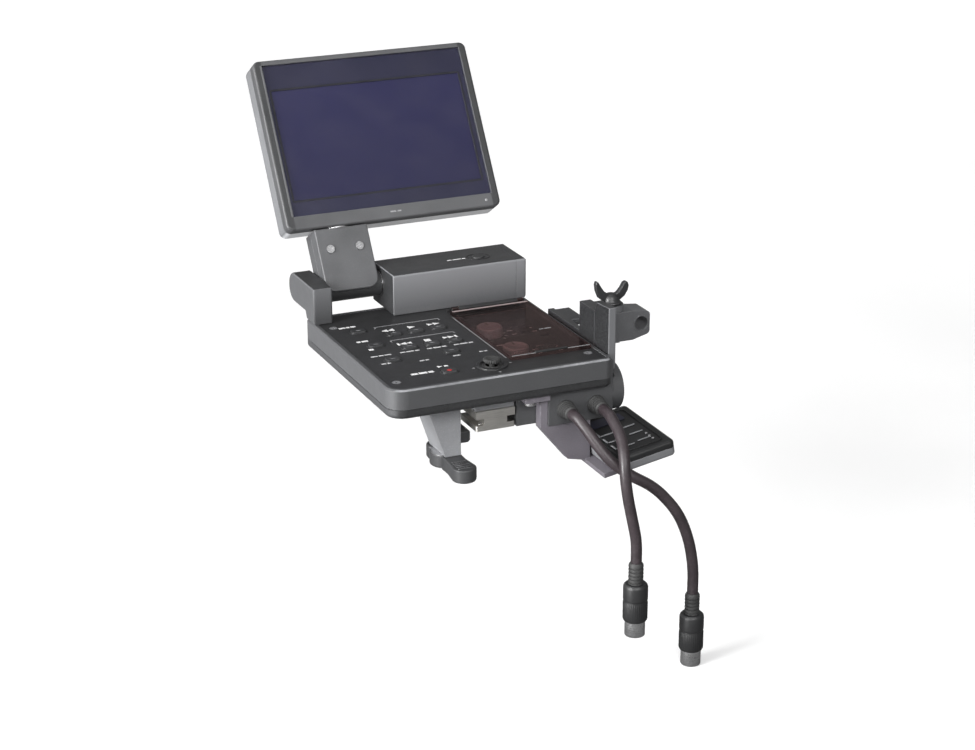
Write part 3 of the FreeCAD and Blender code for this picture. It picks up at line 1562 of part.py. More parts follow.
def check_cuts():
    """Stop if a cut or a hollow of any body removed nothing."""
    kinds = ("PartDesign::Subtractive", "PartDesign::Thickness")
    for body in (node for node in NODES if node.TypeId == "PartDesign::Body"):
        before = 0.0
        for step in body.Group:
            if not hasattr(step, "Shape") or step.Shape.isNull() or not step.Shape.Solids:
                continue
            volume = step.Shape.Volume
            if step.TypeId.startswith(kinds) and before - volume < FLAT:
                raise RuntimeError(f"{step.Name} cuts nothing")
            before = volume


def check_all():
    """Stop unless every object is up to date and every sub-part is a valid solid."""
    failed = [thing.Name for thing in DOC.Objects if {"Invalid", "Error"} & set(thing.State)]
    if failed:
        raise RuntimeError(f"not up to date: {failed}")
    for node in NODES:
        if node.Shape.isNull() or not node.Shape.isValid() or not node.Shape.Solids:
            raise RuntimeError(f"{node.Label} has no valid solid")
        if node.TypeId == "PartDesign::Body" and len(node.Shape.Solids) != 1:
            raise RuntimeError(f"{node.Label} is {len(node.Shape.Solids)} solids")
    check_cuts()


def write_all():
    os.makedirs("parts", exist_ok=True)
    for node in NODES:
        node.Shape.exportStep(f"parts/{node.Label}.step")
    print(f"{len(NODES)} sub-parts written")


fill_sheet()
build_all()
check_all()
write_all()
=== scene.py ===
import json
import math

import bmesh
import bpy
from mathutils import Matrix, Vector


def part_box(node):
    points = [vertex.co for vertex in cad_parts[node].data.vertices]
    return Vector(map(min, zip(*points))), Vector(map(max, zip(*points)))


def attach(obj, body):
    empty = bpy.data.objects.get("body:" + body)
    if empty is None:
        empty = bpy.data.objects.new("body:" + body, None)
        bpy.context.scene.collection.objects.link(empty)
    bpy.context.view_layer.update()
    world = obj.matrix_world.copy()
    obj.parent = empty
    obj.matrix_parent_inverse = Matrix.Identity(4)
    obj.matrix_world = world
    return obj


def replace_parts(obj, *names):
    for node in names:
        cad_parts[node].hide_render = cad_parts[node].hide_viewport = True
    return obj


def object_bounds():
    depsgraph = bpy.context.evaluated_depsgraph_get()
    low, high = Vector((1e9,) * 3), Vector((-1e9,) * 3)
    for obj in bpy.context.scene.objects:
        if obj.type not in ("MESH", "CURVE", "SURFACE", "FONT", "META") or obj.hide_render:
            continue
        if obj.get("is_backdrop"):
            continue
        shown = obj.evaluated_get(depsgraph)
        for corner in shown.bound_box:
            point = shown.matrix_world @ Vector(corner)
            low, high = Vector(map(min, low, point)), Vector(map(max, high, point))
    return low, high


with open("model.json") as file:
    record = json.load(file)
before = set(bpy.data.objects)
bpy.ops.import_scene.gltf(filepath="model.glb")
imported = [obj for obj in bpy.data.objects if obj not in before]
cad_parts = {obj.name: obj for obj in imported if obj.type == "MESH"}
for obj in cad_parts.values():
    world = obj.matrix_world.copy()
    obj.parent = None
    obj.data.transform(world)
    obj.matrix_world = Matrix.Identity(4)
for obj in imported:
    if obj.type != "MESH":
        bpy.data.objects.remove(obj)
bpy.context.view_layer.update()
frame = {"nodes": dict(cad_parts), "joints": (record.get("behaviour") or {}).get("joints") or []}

MM = 0.001

BUTTONS = (
    "display", "monitor", "menu", "rewind", "play", "forward", "previous", "stop", "next", "cancel", "record",
)

# The body a detail rides on and a slot name from the record
CASE = ("housing", "charcoal_plastic")
DECK_PLATE = ("housing", "deck_plastic")
SOFT = ("housing", "soft_rubber")
DARK = ("housing", "dark_parts")
CASTING = ("housing", "grey_metal")
SHOE = ("housing", "shoe_metal")
PLUG = ("housing", "plug_shell")
COVER = ("audio_cover", "smoked_plastic")
SCREEN = ("screen", "charcoal_plastic")
DISPLAY = ("screen", "display_stack")
LEVER = ("lock_lever", "grey_metal")
WING = ("wing_screw", "bright_steel")
MIC_ARM = ("mic_arm", "grey_metal")


# Where things are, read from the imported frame


def deck_origin():
    """The housing's near left top corner."""
    low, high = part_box("base_shell")
    return Vector((low.x, low.y, high.z))


DECK = deck_origin()
HINGE_LOW, HINGE_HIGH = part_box("hinge_shaft")
HINGE = Vector((DECK.x, (HINGE_LOW.y + HINGE_HIGH.y) / 2, (HINGE_LOW.z + HINGE_HIGH.z) / 2))
SWIVEL_JOINT = next(j for j in frame["joints"] if j["name"] == "screen_swivel")
TILT = math.atan2(SWIVEL_JOINT["axis"][1], SWIVEL_JOINT["axis"][2])
SCREEN_FACING = (0, -math.cos(TILT), math.sin(TILT))
SCREEN_HALF = 7.2
PICTURE_WIDE, PICTURE_TALL = 95.0, 53.9
PICTURE_MIDDLE = (51.2, 69.2)
RECEIVER_ROLL = math.radians(10)
RECEIVER_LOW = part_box("receiver_case")[0]

# Heights from the deck of the case's parting line and of the painted highlight band along its near top edge
PARTING_Z = -9.2
PAINTED_HIGHLIGHT_Z = -1.4


def on_deck(x=0, y=0, z=0):
    """Frame matrix of a point given in millimetres from the deck's corner."""
    return Matrix.Translation(DECK + Vector((x, y, z)) * MM)


def on_screen(x=0, y=0, z=0):
    """The same for a point in the screen's own directions, from the tilt axis."""
    turn = Matrix.Rotation(-TILT, 4, "X")
    return Matrix.Translation(HINGE) @ turn @ Matrix.Translation(Vector((x, y, z)) * MM)


def on_receiver(x=0, y=0, z=0):
    """The same for a point from the receiver's near left bottom corner."""
    corner = Vector((RECEIVER_LOW.x + 4.0 * MM * math.sin(RECEIVER_ROLL), RECEIVER_LOW.y, RECEIVER_LOW.z))
    turn = Matrix.Rotation(-RECEIVER_ROLL, 4, "Y")
    return Matrix.Translation(corner) @ turn @ Matrix.Translation(Vector((x, y, z)) * MM)


TO_RIGHT = Matrix.Rotation(math.radians(90), 4, "Y")
TO_NEAR = Matrix.Rotation(math.radians(90), 4, "X")
TO_FAR = Matrix.Rotation(math.radians(-90), 4, "X")
TO_DOWN = Matrix.Rotation(math.radians(180), 4, "X")

# Outlines drawn in Y and Z, with their thickness along X
ALONG_X = Matrix(((0, 0, 1, 0), (1, 0, 0, 0), (0, 1, 0, 0), (0, 0, 0, 1)))


# Materials


class Nodes:
    """A small helper that builds the node tree of one material, or of the world."""

    def __init__(self, name, world=False):
        self.owner = (bpy.data.worlds if world else bpy.data.materials).new(name)
        self.owner.use_nodes = True
        self.tree = self.owner.node_tree
        self.tree.nodes.clear()
        self.out = self.add("ShaderNodeOutputWorld" if world else "ShaderNodeOutputMaterial")
        self.where = self.add("ShaderNodeTexCoord").outputs["Generated" if world else "Object"]

    def add(self, kind, **inputs):
        node = self.tree.nodes.new(kind)
        for key, value in inputs.items():
            self.feed(node, key, value)
        return node

    def feed(self, node, key, value):
        """Sets or links an input, named by its label or by its number as i0, i1 and so on."""
        socket = node.inputs[int(key[1:])] if key[0] == "i" and key[1:].isdigit() else node.inputs[key]
        if isinstance(value, bpy.types.NodeSocket):
            self.tree.links.new(value, socket)
        else:
            socket.default_value = value

    def noise(self, scale, detail=3.0, stretch=None):
        where = self.where
        if stretch:
            mapping = self.add("ShaderNodeMapping", Vector=where)
            mapping.inputs["Scale"].default_value = stretch
            where = mapping.outputs[0]
        return self.add("ShaderNodeTexNoise", Scale=scale, Detail=detail, Vector=where).outputs["Fac"]

    def cells(self, scale):
        return self.add("ShaderNodeTexVoronoi", Scale=scale, Vector=self.where).outputs["Distance"]

    def bricks(self, wide_mm, tall_mm, gap_mm):
        node = self.add("ShaderNodeTexBrick", Scale=1.0, Vector=self.where)
        for key, size in (("Brick Width", wide_mm), ("Row Height", tall_mm), ("Mortar Size", gap_mm)):
            node.inputs[key].default_value = size * MM
        return node.outputs["Fac"]

    def ramp(self, value, low, high, start=0.3, end=0.7):
        """A value in start..end spread over low..high."""
        node = self.add("ShaderNodeMapRange", Value=value)
        for key, number in (("From Min", start), ("From Max", end), ("To Min", low), ("To Max", high)):
            self.feed(node, key, number)
        return node.outputs[0]

    def maths(self, kind, one, two=0.0):
        node = self.add("ShaderNodeMath", i0=one, i1=two)
        node.operation = kind
        return node.outputs[0]

    def times(self, one, two):
        return self.maths("MULTIPLY", one, two)

    def dot(self, one, two):
        node = self.add("ShaderNodeVectorMath", i0=one, i1=two)
        node.operation = "DOT_PRODUCT"
        return node.outputs["Value"]

    def mix(self, share, one, two):
        node = self.add("ShaderNodeMix")
        node.data_type = "RGBA"
        for key, value in (("i0", share), ("i6", one), ("i7", two)):
            self.feed(node, key, value)
        return node.outputs[2]

    def along(self, axis):
        """Place of a point along X, Y or Z, at rest."""
        return self.add("ShaderNodeSeparateXYZ", i0=self.where).outputs[axis]

    def facing(self, direction, start=0.80, end=0.90):
        """1 where the surface faces a direction at rest, 0 elsewhere."""
        normal = self.add("ShaderNodeTexCoord").outputs["Normal"]
        return self.ramp(self.dot(normal, direction), 0.0, 1.0, start, end)

    def bump(self, height, depth_mm, strength=1.0, normal=None):
        node = self.add("ShaderNodeBump", Strength=strength, Distance=depth_mm * MM, Height=height)
        if normal is not None:
            self.feed(node, "Normal", normal)
        return node.outputs[0]

    def edges(self, radius_mm):
        """1 at sharp edges, 0 on flat parts."""
        bevel = self.add("ShaderNodeBevel", Radius=radius_mm * MM)
        bevel.samples = 4
        self.rounded = bevel.outputs[0]
        flat = self.add("ShaderNodeNewGeometry").outputs["Normal"]
        return self.ramp(self.dot(self.rounded, flat), 1.0, 0.0, 0.82, 0.995)

    def patches(self, colour, low, high, scale=45.0, detail=4.0):
        """Slow changes of a colour between two multiples of itself."""
        return self.mix(
            self.ramp(self.noise(scale, detail), 0, 1), scaled(colour, low), scaled(colour, high),
        )

    def speckled(self, base, colour, share, paler, scale=2800.0):
        """Fine pale specks over a colour."""
        return self.mix(self.ramp(self.noise(scale, 2.0), 0.0, share), base, scaled(colour, paler))

    def moulded(self, base, colour, wear, rough, cells=2000.0, deep=0.03, relief=0.55, least=0.25, paler=3.2):
        """Finishes a plastic with rubbed edges, a spark-eroded grain and a patchy sheen."""
        worn = self.times(self.edges(0.5), self.ramp(self.noise(260.0), least, 1.0))
        base = self.mix(self.times(worn, wear), base, scaled(colour, paler))
        normal = self.bump(self.cells(cells), deep, relief, self.rounded)
        return self.shade(Base_Color=base, Roughness=self.ramp(self.noise(90.0, 5.0), *rough), Normal=normal)

    def shade(self, **inputs):
        shader = self.add("ShaderNodeBsdfPrincipled")
        for key, value in inputs.items():
            self.feed(shader, key.replace("_", " "), value)
        self.feed(self.out, "Surface", shader.outputs[0])
        return shader


def rgb(value, tint=(1.0, 1.0, 1.0)):
    return (*[value * t for t in tint], 1.0)


def scaled(colour, by):
    return (*[min(1.0, c * by) for c in colour[:3]], 1.0)


def plastic(name, colour, rough=0.5, grain_mm=0.35, grain_deep=0.03, wear=0.35):
    """Moulded plastic: fine spark-eroded grain, patchy sheen and slightly polished edges."""
    n = Nodes(name)
    base = n.patches(colour, 0.82, 1.18)
    fine = n.noise(1000.0 / grain_mm, 2.0)
    base = n.mix(n.ramp(fine, 0.0, 0.35), base, scaled(colour, 1.5))
    worn = n.times(n.edges(0.5), n.ramp(n.noise(260.0), 0.25, 1.0))
    base = n.mix(n.times(worn, wear), base, scaled(colour, 3.2))
    roughness = n.ramp(n.noise(90.0, 5.0), rough - 0.07, rough + 0.09)
    roughness = n.maths("SUBTRACT", roughness, n.times(worn, 0.12))
    normal = n.bump(n.cells(1000.0 / (grain_mm * 1.4)), grain_deep, 0.55, n.rounded)
    normal = n.bump(fine, grain_deep, 0.5, normal)
    n.shade(Base_Color=base, Roughness=roughness, Normal=normal)
    return n.owner


def painted(name, colour, rough=0.42, wear=0.5, metallic=0.0):
    """Powder paint on cast metal: orange-peel surface, bare metal showing at the edges."""
    n = Nodes(name)
    base = n.patches(colour, 0.86, 1.16, 60.0, 5.0)
    specks = n.ramp(n.noise(2600.0, 2.0), 0.0, 0.5, 0.55, 0.75)
    base = n.mix(specks, base, scaled(colour, 1.7))
    worn = n.times(n.edges(0.4), n.ramp(n.noise(420.0, 4.0), 0.0, 1.0, 0.35, 0.62))
    worn = n.times(worn, wear)
    base = n.mix(worn, base, (0.52, 0.52, 0.53, 1))
    roughness = n.maths(
        "SUBTRACT", n.ramp(n.noise(120.0, 4.0), rough - 0.06, rough + 0.1), n.times(worn, 0.15),
    )
    normal = n.bump(n.noise(900.0, 2.0), 0.05, 0.5, n.rounded)
    normal = n.bump(n.noise(3600.0, 2.0), 0.02, 0.4, normal)
    n.shade(Base_Color=base, Roughness=roughness, Normal=normal, Metallic=n.maths("MAXIMUM", worn, metallic))
    return n.owner


def metal(name, colour, rough=0.28, stretch=(1.0, 1.0, 60.0), scratches=0.5):
    """Machined metal: fine lines along one way, small scratches and darker patches."""
    n = Nodes(name)
    lines = n.noise(160.0, 6.0, stretch)
    marks = n.noise(700.0, 5.0, (1.0, 9.0, 2.0))
    base = n.mix(n.ramp(lines, 0, 1), scaled(colour, 0.82), scaled(colour, 1.12))
    base = n.mix(n.ramp(n.noise(70.0, 4.0), 0.0, 0.35), base, scaled(colour, 0.6))
    roughness = n.maths(
        "ADD", n.ramp(lines, rough - 0.06, rough + 0.1), n.times(n.ramp(marks, 0, 0.2), scratches),
    )
    normal = n.bump(lines, 0.02, 0.4)
    normal = n.bump(marks, 0.015, 0.3 * scratches, normal)
    n.shade(Base_Color=base, Roughness=roughness, Normal=normal, Metallic=1.0)
    return n.owner


def rubber(name, colour, rough=0.6, rib=0.0):
    """Soft jacket: matt, with dust in its pores and a patchy tone."""
    n = Nodes(name)
    dust = n.ramp(n.noise(900.0, 4.0), 0.0, 0.5, 0.5, 0.8)
    base = n.patches(colour, 0.8, 1.25, 70.0)
    base = n.mix(dust, base, scaled(colour, 2.4))
    normal = n.bump(n.noise(1500.0, 3.0), 0.04, 0.5)
    n.shade(Base_Color=base, Roughness=n.ramp(n.noise(140.0), rough - 0.1, rough + 0.12), Normal=normal)
    return n.owner


def plastic_with_painted_light(name, front, top, left, rough=0.36, painted_light_fade=None, left_shine=0.5):
    """Moulded plastic with painted light: painted shade on its top faces and a painted tone on its left faces,
    for how light falls on each.

    fade gives two heights and the share of the front's colour at each: a painted light gradient up the front.
    """
    n = Nodes(name)
    top_painted_shade_mask, left_painted_light_mask = n.facing((0, 0, 1)), n.facing((-1, 0, 0))
    front_with_painted_fade = front
    # Painted light: the front's colour changes with height.
    if painted_light_fade:
        (low, low_share), (high, high_share) = painted_light_fade
        rise = n.ramp(n.along("Z"), 0.0, 1.0, low, high)
        front_with_painted_fade = n.mix(rise, scaled(front, low_share), scaled(front, high_share))
    # Painted shade on the top faces and a painted light tone on the left faces, chosen by the face's direction.
    base = n.mix(top_painted_shade_mask, n.mix(left_painted_light_mask, front_with_painted_fade, left), top)
    base = n.speckled(base, front, 0.3, 1.25)
    shader = n.moulded(base, front, 0.2, (rough - 0.06, rough + 0.08), relief=0.5, least=0.3, paler=2.6)
    # A lower specular level on the left faces, which paints more shade there.
    n.feed(shader, "Specular IOR Level", n.ramp(left_painted_light_mask, 0.5, left_shine, 0.0, 1.0))
    return n.owner


def case_plastic(name, colour):
    """The housing's plastic with painted light: paler on the left, painted shade on near faces below the
    parting line, and a painted highlight band near its top edge.
    """
    n = Nodes(name)
    near, left = n.facing((0, -1, 0), 0.5, 0.9), n.facing((-1, 0, 0), 0.5, 0.9)
    parting, rim = DECK.z + PARTING_Z * MM, DECK.z + PAINTED_HIGHLIGHT_Z * MM
    below = n.ramp(n.along("Z"), 1.0, 0.0, parting - 0.1 * MM, parting + 0.1 * MM)
    # Painted light and shade: left faces paler, near faces below the parting line darkened.
    upper = n.mix(left, colour, scaled(colour, 1.75))
    lower = n.mix(left, n.mix(near, colour, scaled(colour, 0.2)), scaled(colour, 1.15))
    base = n.mix(below, upper, lower)
    # A painted highlight band along the near top edge, made patchy by noise.
    turned_up = n.facing((0, -0.8, 0.6), 0.80, 0.93)
    rubbed = n.times(turned_up, n.ramp(n.along("Z"), 0.0, 1.0, rim - 0.15 * MM, rim + 0.15 * MM))
    rubbed = n.times(rubbed, n.ramp(n.noise(140.0), 0.35, 0.75))
    base = n.speckled(n.mix(rubbed, base, scaled(colour, 7.0)), colour, 0.35, 1.5)
    n.moulded(base, colour, 0.35, (0.35, 0.51))
    return n.owner


def shell_plastic(name, colour):
    """The screen's rear shell: satin plastic with painted light, paler on its left and lower sides, and a faint
    painted glow on its lower side, which is no lamp.
    """
    n = Nodes(name)
    lower = n.facing((0, -math.sin(TILT), -math.cos(TILT)), 0.6, 0.9)
    left = n.facing((-1, 0, 0), 0.6, 0.9)
    patches = n.ramp(n.noise(45.0, 4.0), 0, 1)
    base = n.mix(patches, scaled(colour, 0.85), scaled(colour, 1.15))
    # Painted light: the left faces are paler.
    base = n.mix(left, base, n.mix(patches, scaled(colour, 1.5), scaled(colour, 1.75)))
    # Painted light: the lower faces are much paler.
    base = n.speckled(n.mix(lower, base, scaled(colour, 4.5)), colour, 0.25, 1.6)
    shader = n.moulded(base, colour, 0.4, (0.29, 0.45))
    # A painted glow on the lower faces.
    n.feed(shader, "Emission Color", (1, 1, 1, 1))
    n.feed(shader, "Emission Strength", n.times(lower, 0.16))
    return n.owner


def bezel_plastic(name, colour):
    """The screen's front frame, with painted shade darkening its two narrow uprights."""
    n = Nodes(name)
    middle = DECK.x + PICTURE_MIDDLE[0] * MM
    off = n.maths("ABSOLUTE", n.maths("SUBTRACT", n.along("X"), middle))
    # Painted shade on the uprights' front faces beside the picture.
    upright_painted_shade = n.times(n.ramp(off, 0.0, 1.0, 49.6 * MM, 50.1 * MM), n.facing(SCREEN_FACING, 0.5, 0.9))
    base = n.mix(upright_painted_shade, n.patches(colour, 0.84, 1.16), scaled(colour, 0.34))
    n.moulded(n.speckled(base, colour, 0.3, 1.4, 3300.0), colour, 0.45, (0.29, 0.45), 2400.0, 0.02)
    return n.owner


def see_through(name, tint, reflect_rough=0.08, dirt=0.15, shine=1.0):
    """Clear or smoked sheet: fresnel reflection over a tinted view of what lies beneath, with faint smears."""
    n = Nodes(name)
    smears = n.ramp(n.noise(60.0, 6.0, (1.0, 2.5, 1.0)), 0.0, 1.0, 0.4, 0.75)
    clear = n.add("ShaderNodeBsdfTransparent", Color=tint)
    rough = n.maths("ADD", reflect_rough, n.times(smears, dirt))
    gloss = n.add("ShaderNodeBsdfGlossy", Color=(1, 1, 1, 1), Roughness=rough)
    haze = n.add("ShaderNodeBsdfDiffuse", Color=(0.30, 0.28, 0.28, 1))
    fresnel = n.add("ShaderNodeFresnel", IOR=1.49)
    normal = n.bump(n.noise(35.0, 2.0), 0.02, 0.05)
    n.feed(gloss, "Normal", normal)
    n.feed(fresnel, "Normal", normal)
    hazy = n.add("ShaderNodeMixShader", i0=n.times(smears, 0.015), i1=clear.outputs[0], i2=haze.outputs[0])
    share = n.times(fresnel.outputs[0], shine)
    mixed = n.add("ShaderNodeMixShader", i0=share, i1=hazy.outputs[0], i2=gloss.outputs[0])
    n.feed(n.out, "Surface", mixed.outputs[0])
    return n.owner


def display(name):
    """An unlit picture panel: deep blue film with a faint lattice and a soft gradient."""
    n = Nodes(name)
    low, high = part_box("lcd_module")
    rise = n.ramp(n.along("Z"), 0.0, 1.0, low.z, high.z)
    base = n.mix(rise, (0.012, 0.011, 0.044, 1), (0.018, 0.017, 0.062, 1))
    base = n.mix(n.times(n.bricks(0.3, 0.3, 0.04), 0.1), base, (0.018, 0.018, 0.06, 1))
    n.shade(
        Base_Color=base, Roughness=n.ramp(n.noise(20.0, 4.0), 0.4, 0.5),
        Normal=n.bump(n.noise(300.0), 0.01, 0.1),
    )
    return n.owner


def board(name):
    """Green solder mask with paler tracks."""
    n = Nodes(name)
    tracks = n.bricks(3.1, 0.9, 0.22)
    base = n.mix(tracks, (0.012, 0.10, 0.045, 1), (0.03, 0.2, 0.09, 1))
    base = n.mix(n.ramp(n.noise(120.0), 0, 0.4), base, (0.01, 0.06, 0.03, 1))
    n.shade(Base_Color=base, Roughness=n.ramp(n.noise(400.0), 0.3, 0.5), Normal=n.bump(tracks, 0.05, 0.6))
    return n.owner


def ink(name, colour, rough=0.55):
    """Screen-printed paint: slightly uneven coverage."""
    n = Nodes(name)
    cover = n.ramp(n.noise(1800.0, 4.0), 0.0, 1.0, 0.35, 0.55)
    base = n.mix(cover, scaled(colour, 0.55), colour)
    n.shade(
        Base_Color=base, Roughness=n.ramp(n.noise(900.0), rough - 0.1, rough + 0.1),
        Normal=n.bump(n.noise(2400.0), 0.02, 0.4),
    )
    return n.owner


def glassy(name, colour):
    """Paint behind glass: dark, even and glossy, with faint specks of dust."""
    n = Nodes(name)
    base = n.patches(colour, 0.9, 1.15, 30.0, 3.0)
    base = n.mix(n.ramp(n.noise(700.0, 2.0), 0, 0.3, 0.70, 0.85), base, scaled(colour, 1.8))
    n.shade(
        Base_Color=base, Roughness=n.ramp(n.noise(60.0, 4.0), 0.36, 0.46),
        Normal=n.bump(n.noise(240.0), 0.01, 0.1),
    )
    return n.owner


GREY = (0.97, 0.985, 1.03)

# Name, grey level, then roughness, grain size, grain depth and wear where they differ from the usual
PLASTICS = (
    ("charcoal", 0.058, 0.42),
    ("deck", 0.019, 0.46, 0.3, 0.03, 0.3),
    ("tray", 0.018, 0.4, 0.3, 0.02, 0.4),
    ("dial", 0.30, 0.4, 0.3, 0.02, 0.4),
    ("key", 0.026, 0.34, 0.3, 0.02, 0.9),
    ("black", 0.016, 0.38, 0.3, 0.02, 0.3),
    ("receiver", 0.012, 0.4),
    ("receiver_base", 0.17, 0.46),
    ("receiver_ridge", 0.16, 0.4),
    ("rim", 0.10, 0.4, 0.3, 0.02, 0.3),
)

# Name, grey level, roughness and wear
PAINTS = (
    ("grey", 0.085, 0.38),
    ("ear", 0.034, 0.4),
    ("foot", 0.23, 0.36),
    # The deck screws' pale grey stands in for the glint of their heads: a painted reflection.
    ("screw", 0.17, 0.3, 0.6),
    ("lever", 0.045, 0.4),
    ("mic", 0.105, 0.34),
    ("wing", 0.022, 0.34),
)
# Ink colours; the line and rose inks paint highlights across the audio cover's two ends.
INKS = {
    "pale": (0.62, 0.62, 0.63, 1),
    "line": (0.34, 0.35, 0.36, 1),
    "rose": (0.36, 0.29, 0.29, 1),
    "white": (0.84, 0.84, 0.84, 1),
    "dim": (0.30, 0.30, 0.31, 1),
    "red": (0.45, 0.03, 0.03, 1),
}


def make_materials():
    # Painted light gradients up the fronts of the hinge block and the ear, paler towards the top.
    block_painted_fade = ((DECK.z + 3 * MM, 0.72), (DECK.z + 18 * MM, 1.6))
    ear_painted_fade = ((DECK.z + 2 * MM, 0.6), (DECK.z + 16 * MM, 1.7))
    made = {key: plastic(key + "_plastic", rgb(level, GREY), *rest) for key, level, *rest in PLASTICS}
    made |= {key: painted(key + "_paint", rgb(level, GREY), *rest) for key, level, *rest in PAINTS}
    made |= {key: ink(key + "_ink", colour) for key, colour in INKS.items()}
    # Front, top and left tones of the hinge block, the ear and the microphone arm's base: the dark tops are
    # painted shade, the left tones paint how light falls on the left, and the block's pale front is a lit copy
    # of the housing's plastic, which is painted light too.
    block, ear, mic = (
        [rgb(level, GREY) for level in levels]
        for levels in ((0.13, 0.014, 0.012), (0.075, 0.012, 0.10), (0.13, 0.02, 0.004))
    )
    return made | {
        "case": case_plastic("case_plastic", rgb(0.058, GREY)),
        "block": plastic_with_painted_light("block_plastic", *block, painted_light_fade=block_painted_fade, left_shine=0.12),
        "ear_block": plastic_with_painted_light("ear_plastic", *ear, painted_light_fade=ear_painted_fade),
        "mic_base": plastic_with_painted_light("mic_base_paint", *mic, 0.4, left_shine=0.03),
        "shell": shell_plastic("screen_shell_plastic", rgb(0.12, GREY)),
        "bezel": bezel_plastic("bezel_plastic", rgb(0.080, GREY)),
        "insert": plastic("insert_plastic", rgb(0.020), 0.34, 0.4, 0.02, 0.4),
        "bracket": painted("bracket_paint", (0.135, 0.125, 0.142, 1), 0.4, 0.7),
        "steel": metal("bright_steel", (0.66, 0.66, 0.67, 1), 0.25),
        "dark_steel": metal("dark_steel", (0.20, 0.20, 0.21, 1), 0.34),
        "shoe": metal("shoe_metal", (0.74, 0.72, 0.68, 1), 0.32),
        "gold": metal("contact_gold", (0.85, 0.62, 0.28, 1), 0.22),
        "rubber": rubber("soft_rubber", rgb(0.028)),
        "jacket": rubber("cable_jacket", (0.030, 0.023, 0.026, 1), 0.42),
        "smoke": see_through("smoked_sheet", (0.74, 0.625, 0.615, 1), 0.05, 0.08, 0.3),
        "glass": see_through("window_sheet", (0.92, 0.92, 0.97, 1), 0.16, 0.04, 0.28),
        "display": display("picture_panel"),
        "board": board("circuit_board"),
        "border": glassy("border_paint", (0.018, 0.018, 0.037, 1)),
    }


MAT = make_materials()


# Mesh helpers: every size below is in millimetres


def finish_mesh(name, mesh, place, material, body, slot, smooth=35.0, bevel=0.0, segments=2):
    """Turns a bmesh into a piece that rides on a body, with rounded edges and smooth shading."""
    bmesh.ops.recalc_face_normals(mesh, faces=mesh.faces)
    data = bpy.data.meshes.new(name)
    mesh.to_mesh(data)
    mesh.free()
    data.transform(Matrix.Scale(MM, 4))
    data.transform(place)
    data.materials.append(MAT[material])
    piece = bpy.data.objects.new(name, data)
    bpy.context.scene.collection.objects.link(piece)
    if bevel:
        rounding = piece.modifiers.new("rounding", "BEVEL")
        rounding.width = bevel * MM
        rounding.segments = segments
        rounding.limit_method = "ANGLE"
        rounding.angle_limit = math.radians(40)
        rounding.harden_normals = True
        rounding.use_clamp_overlap = True
    data.shade_smooth()
    data.set_sharp_from_angle(angle=math.radians(smooth))
    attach(piece, body)
    return piece


def lathe(name, profile, place, material, body, slot, steps=48, ribs=0, rib_deep=0.0, rib_span=None, **finish):
    """A shape of revolution about Z; ribs press grooves into the profile points whose height is in rib_span."""
    mesh = bmesh.new()
    rings = []
    for radius, height in profile:
        ring = []
        if radius < 1e-6:
            rings.append([mesh.verts.new((0, 0, height))])
            continue
        for step in range(steps):
            angle = 2 * math.pi * step / steps
            r = radius
            if ribs and rib_span[0] <= height <= rib_span[1]:
                r -= rib_deep * (0.5 - 0.5 * math.cos(angle * ribs))
            ring.append(mesh.verts.new((r * math.cos(angle), r * math.sin(angle), height)))
        rings.append(ring)
    for one, two in zip(rings, rings[1:]):
        join_rings(mesh, one, two)
    if len(rings[0]) > 1:
        mesh.faces.new(rings[0][::-1])
    if len(rings[-1]) > 1:
        mesh.faces.new(rings[-1])
    return finish_mesh(name, mesh, place, material, body, slot, **finish)


def join_rings(mesh, one, two):
    if len(one) == 1 and len(two) == 1:
        return
    count = max(len(one), len(two))
    for k in range(count):
        following = (k + 1) % count
        if len(one) == 1:
            mesh.faces.new((one[0], two[k], two[following]))
        elif len(two) == 1:
            mesh.faces.new((one[k], one[following], two[0]))
        else:
            mesh.faces.new((one[k], one[following], two[following], two[k]))


def ring(mesh, outline, height):
    """An outline's points at a height."""
    return [mesh.verts.new((x, y, height)) for x, y in outline]


def join_round(mesh, loops):
    """Joins each loop to the next, and the last to the first."""
    for one, two in zip(loops, loops[1:] + loops[:1]):
        join_rings(mesh, one, two)


def band(name, sections, *where, **finish):
    """A closed band through outlines, each given with its height."""
    mesh = bmesh.new()
    join_round(mesh, [ring(mesh, outline, height) for outline, height in sections])
    return finish_mesh(name, mesh, *where, **finish)


def ring_frame(name, outer, inner, low, high, *where, **finish):
    """A flat band between two outlines with the same number of points."""
    sections = ((outer, low), (outer, high), (inner, high), (inner, low))
    return band(name, sections, *where, **finish)


def washer(name, outer, inner, low, high, place, material, body, slot, steps=48, **finish):
    """A ring with a hole through it."""
    edges = (circle(outer, steps=steps), circle(inner, steps=steps))
    return ring_frame(name, *edges, low, high, place, material, body, slot, **finish)


def slabs(name, outlines, low, high, *where, **finish):
    """Flat outlines in X and Y, all given thickness from low to high."""
    mesh = bmesh.new()
    for outline in outlines:
        bottom, top = ring(mesh, outline, low), ring(mesh, outline, high)
        mesh.faces.new(bottom[::-1])
        mesh.faces.new(top)
        join_rings(mesh, bottom, top)
    return finish_mesh(name, mesh, *where, **finish)


def turned(radius, angle):
    """A point at a radius and an angle in radians."""
    return radius * math.cos(angle), radius * math.sin(angle)


def rounded(width, depth, corner, x=0.0, y=0.0, steps=6):
    """A rounded rectangle's outline about a centre."""
    points = []
    spots = ((1, -1, -90), (1, 1, 0), (-1, 1, 90), (-1, -1, 180))
    for sx, sy, start in spots:
        cx, cy = x + sx * (width / 2 - corner), y + sy * (depth / 2 - corner)
        for k in range(steps + 1):
            a = math.radians(start + 90 * k / steps)
            points.append((cx + corner * math.cos(a), cy + corner * math.sin(a)))
    return points


def circle(radius, x=0.0, y=0.0, steps=32):
    spots = (turned(radius, 2 * math.pi * k / steps) for k in range(steps))
    return [(x + across, y + along) for across, along in spots]


# CAD pieces that keep their shape: each gets its material

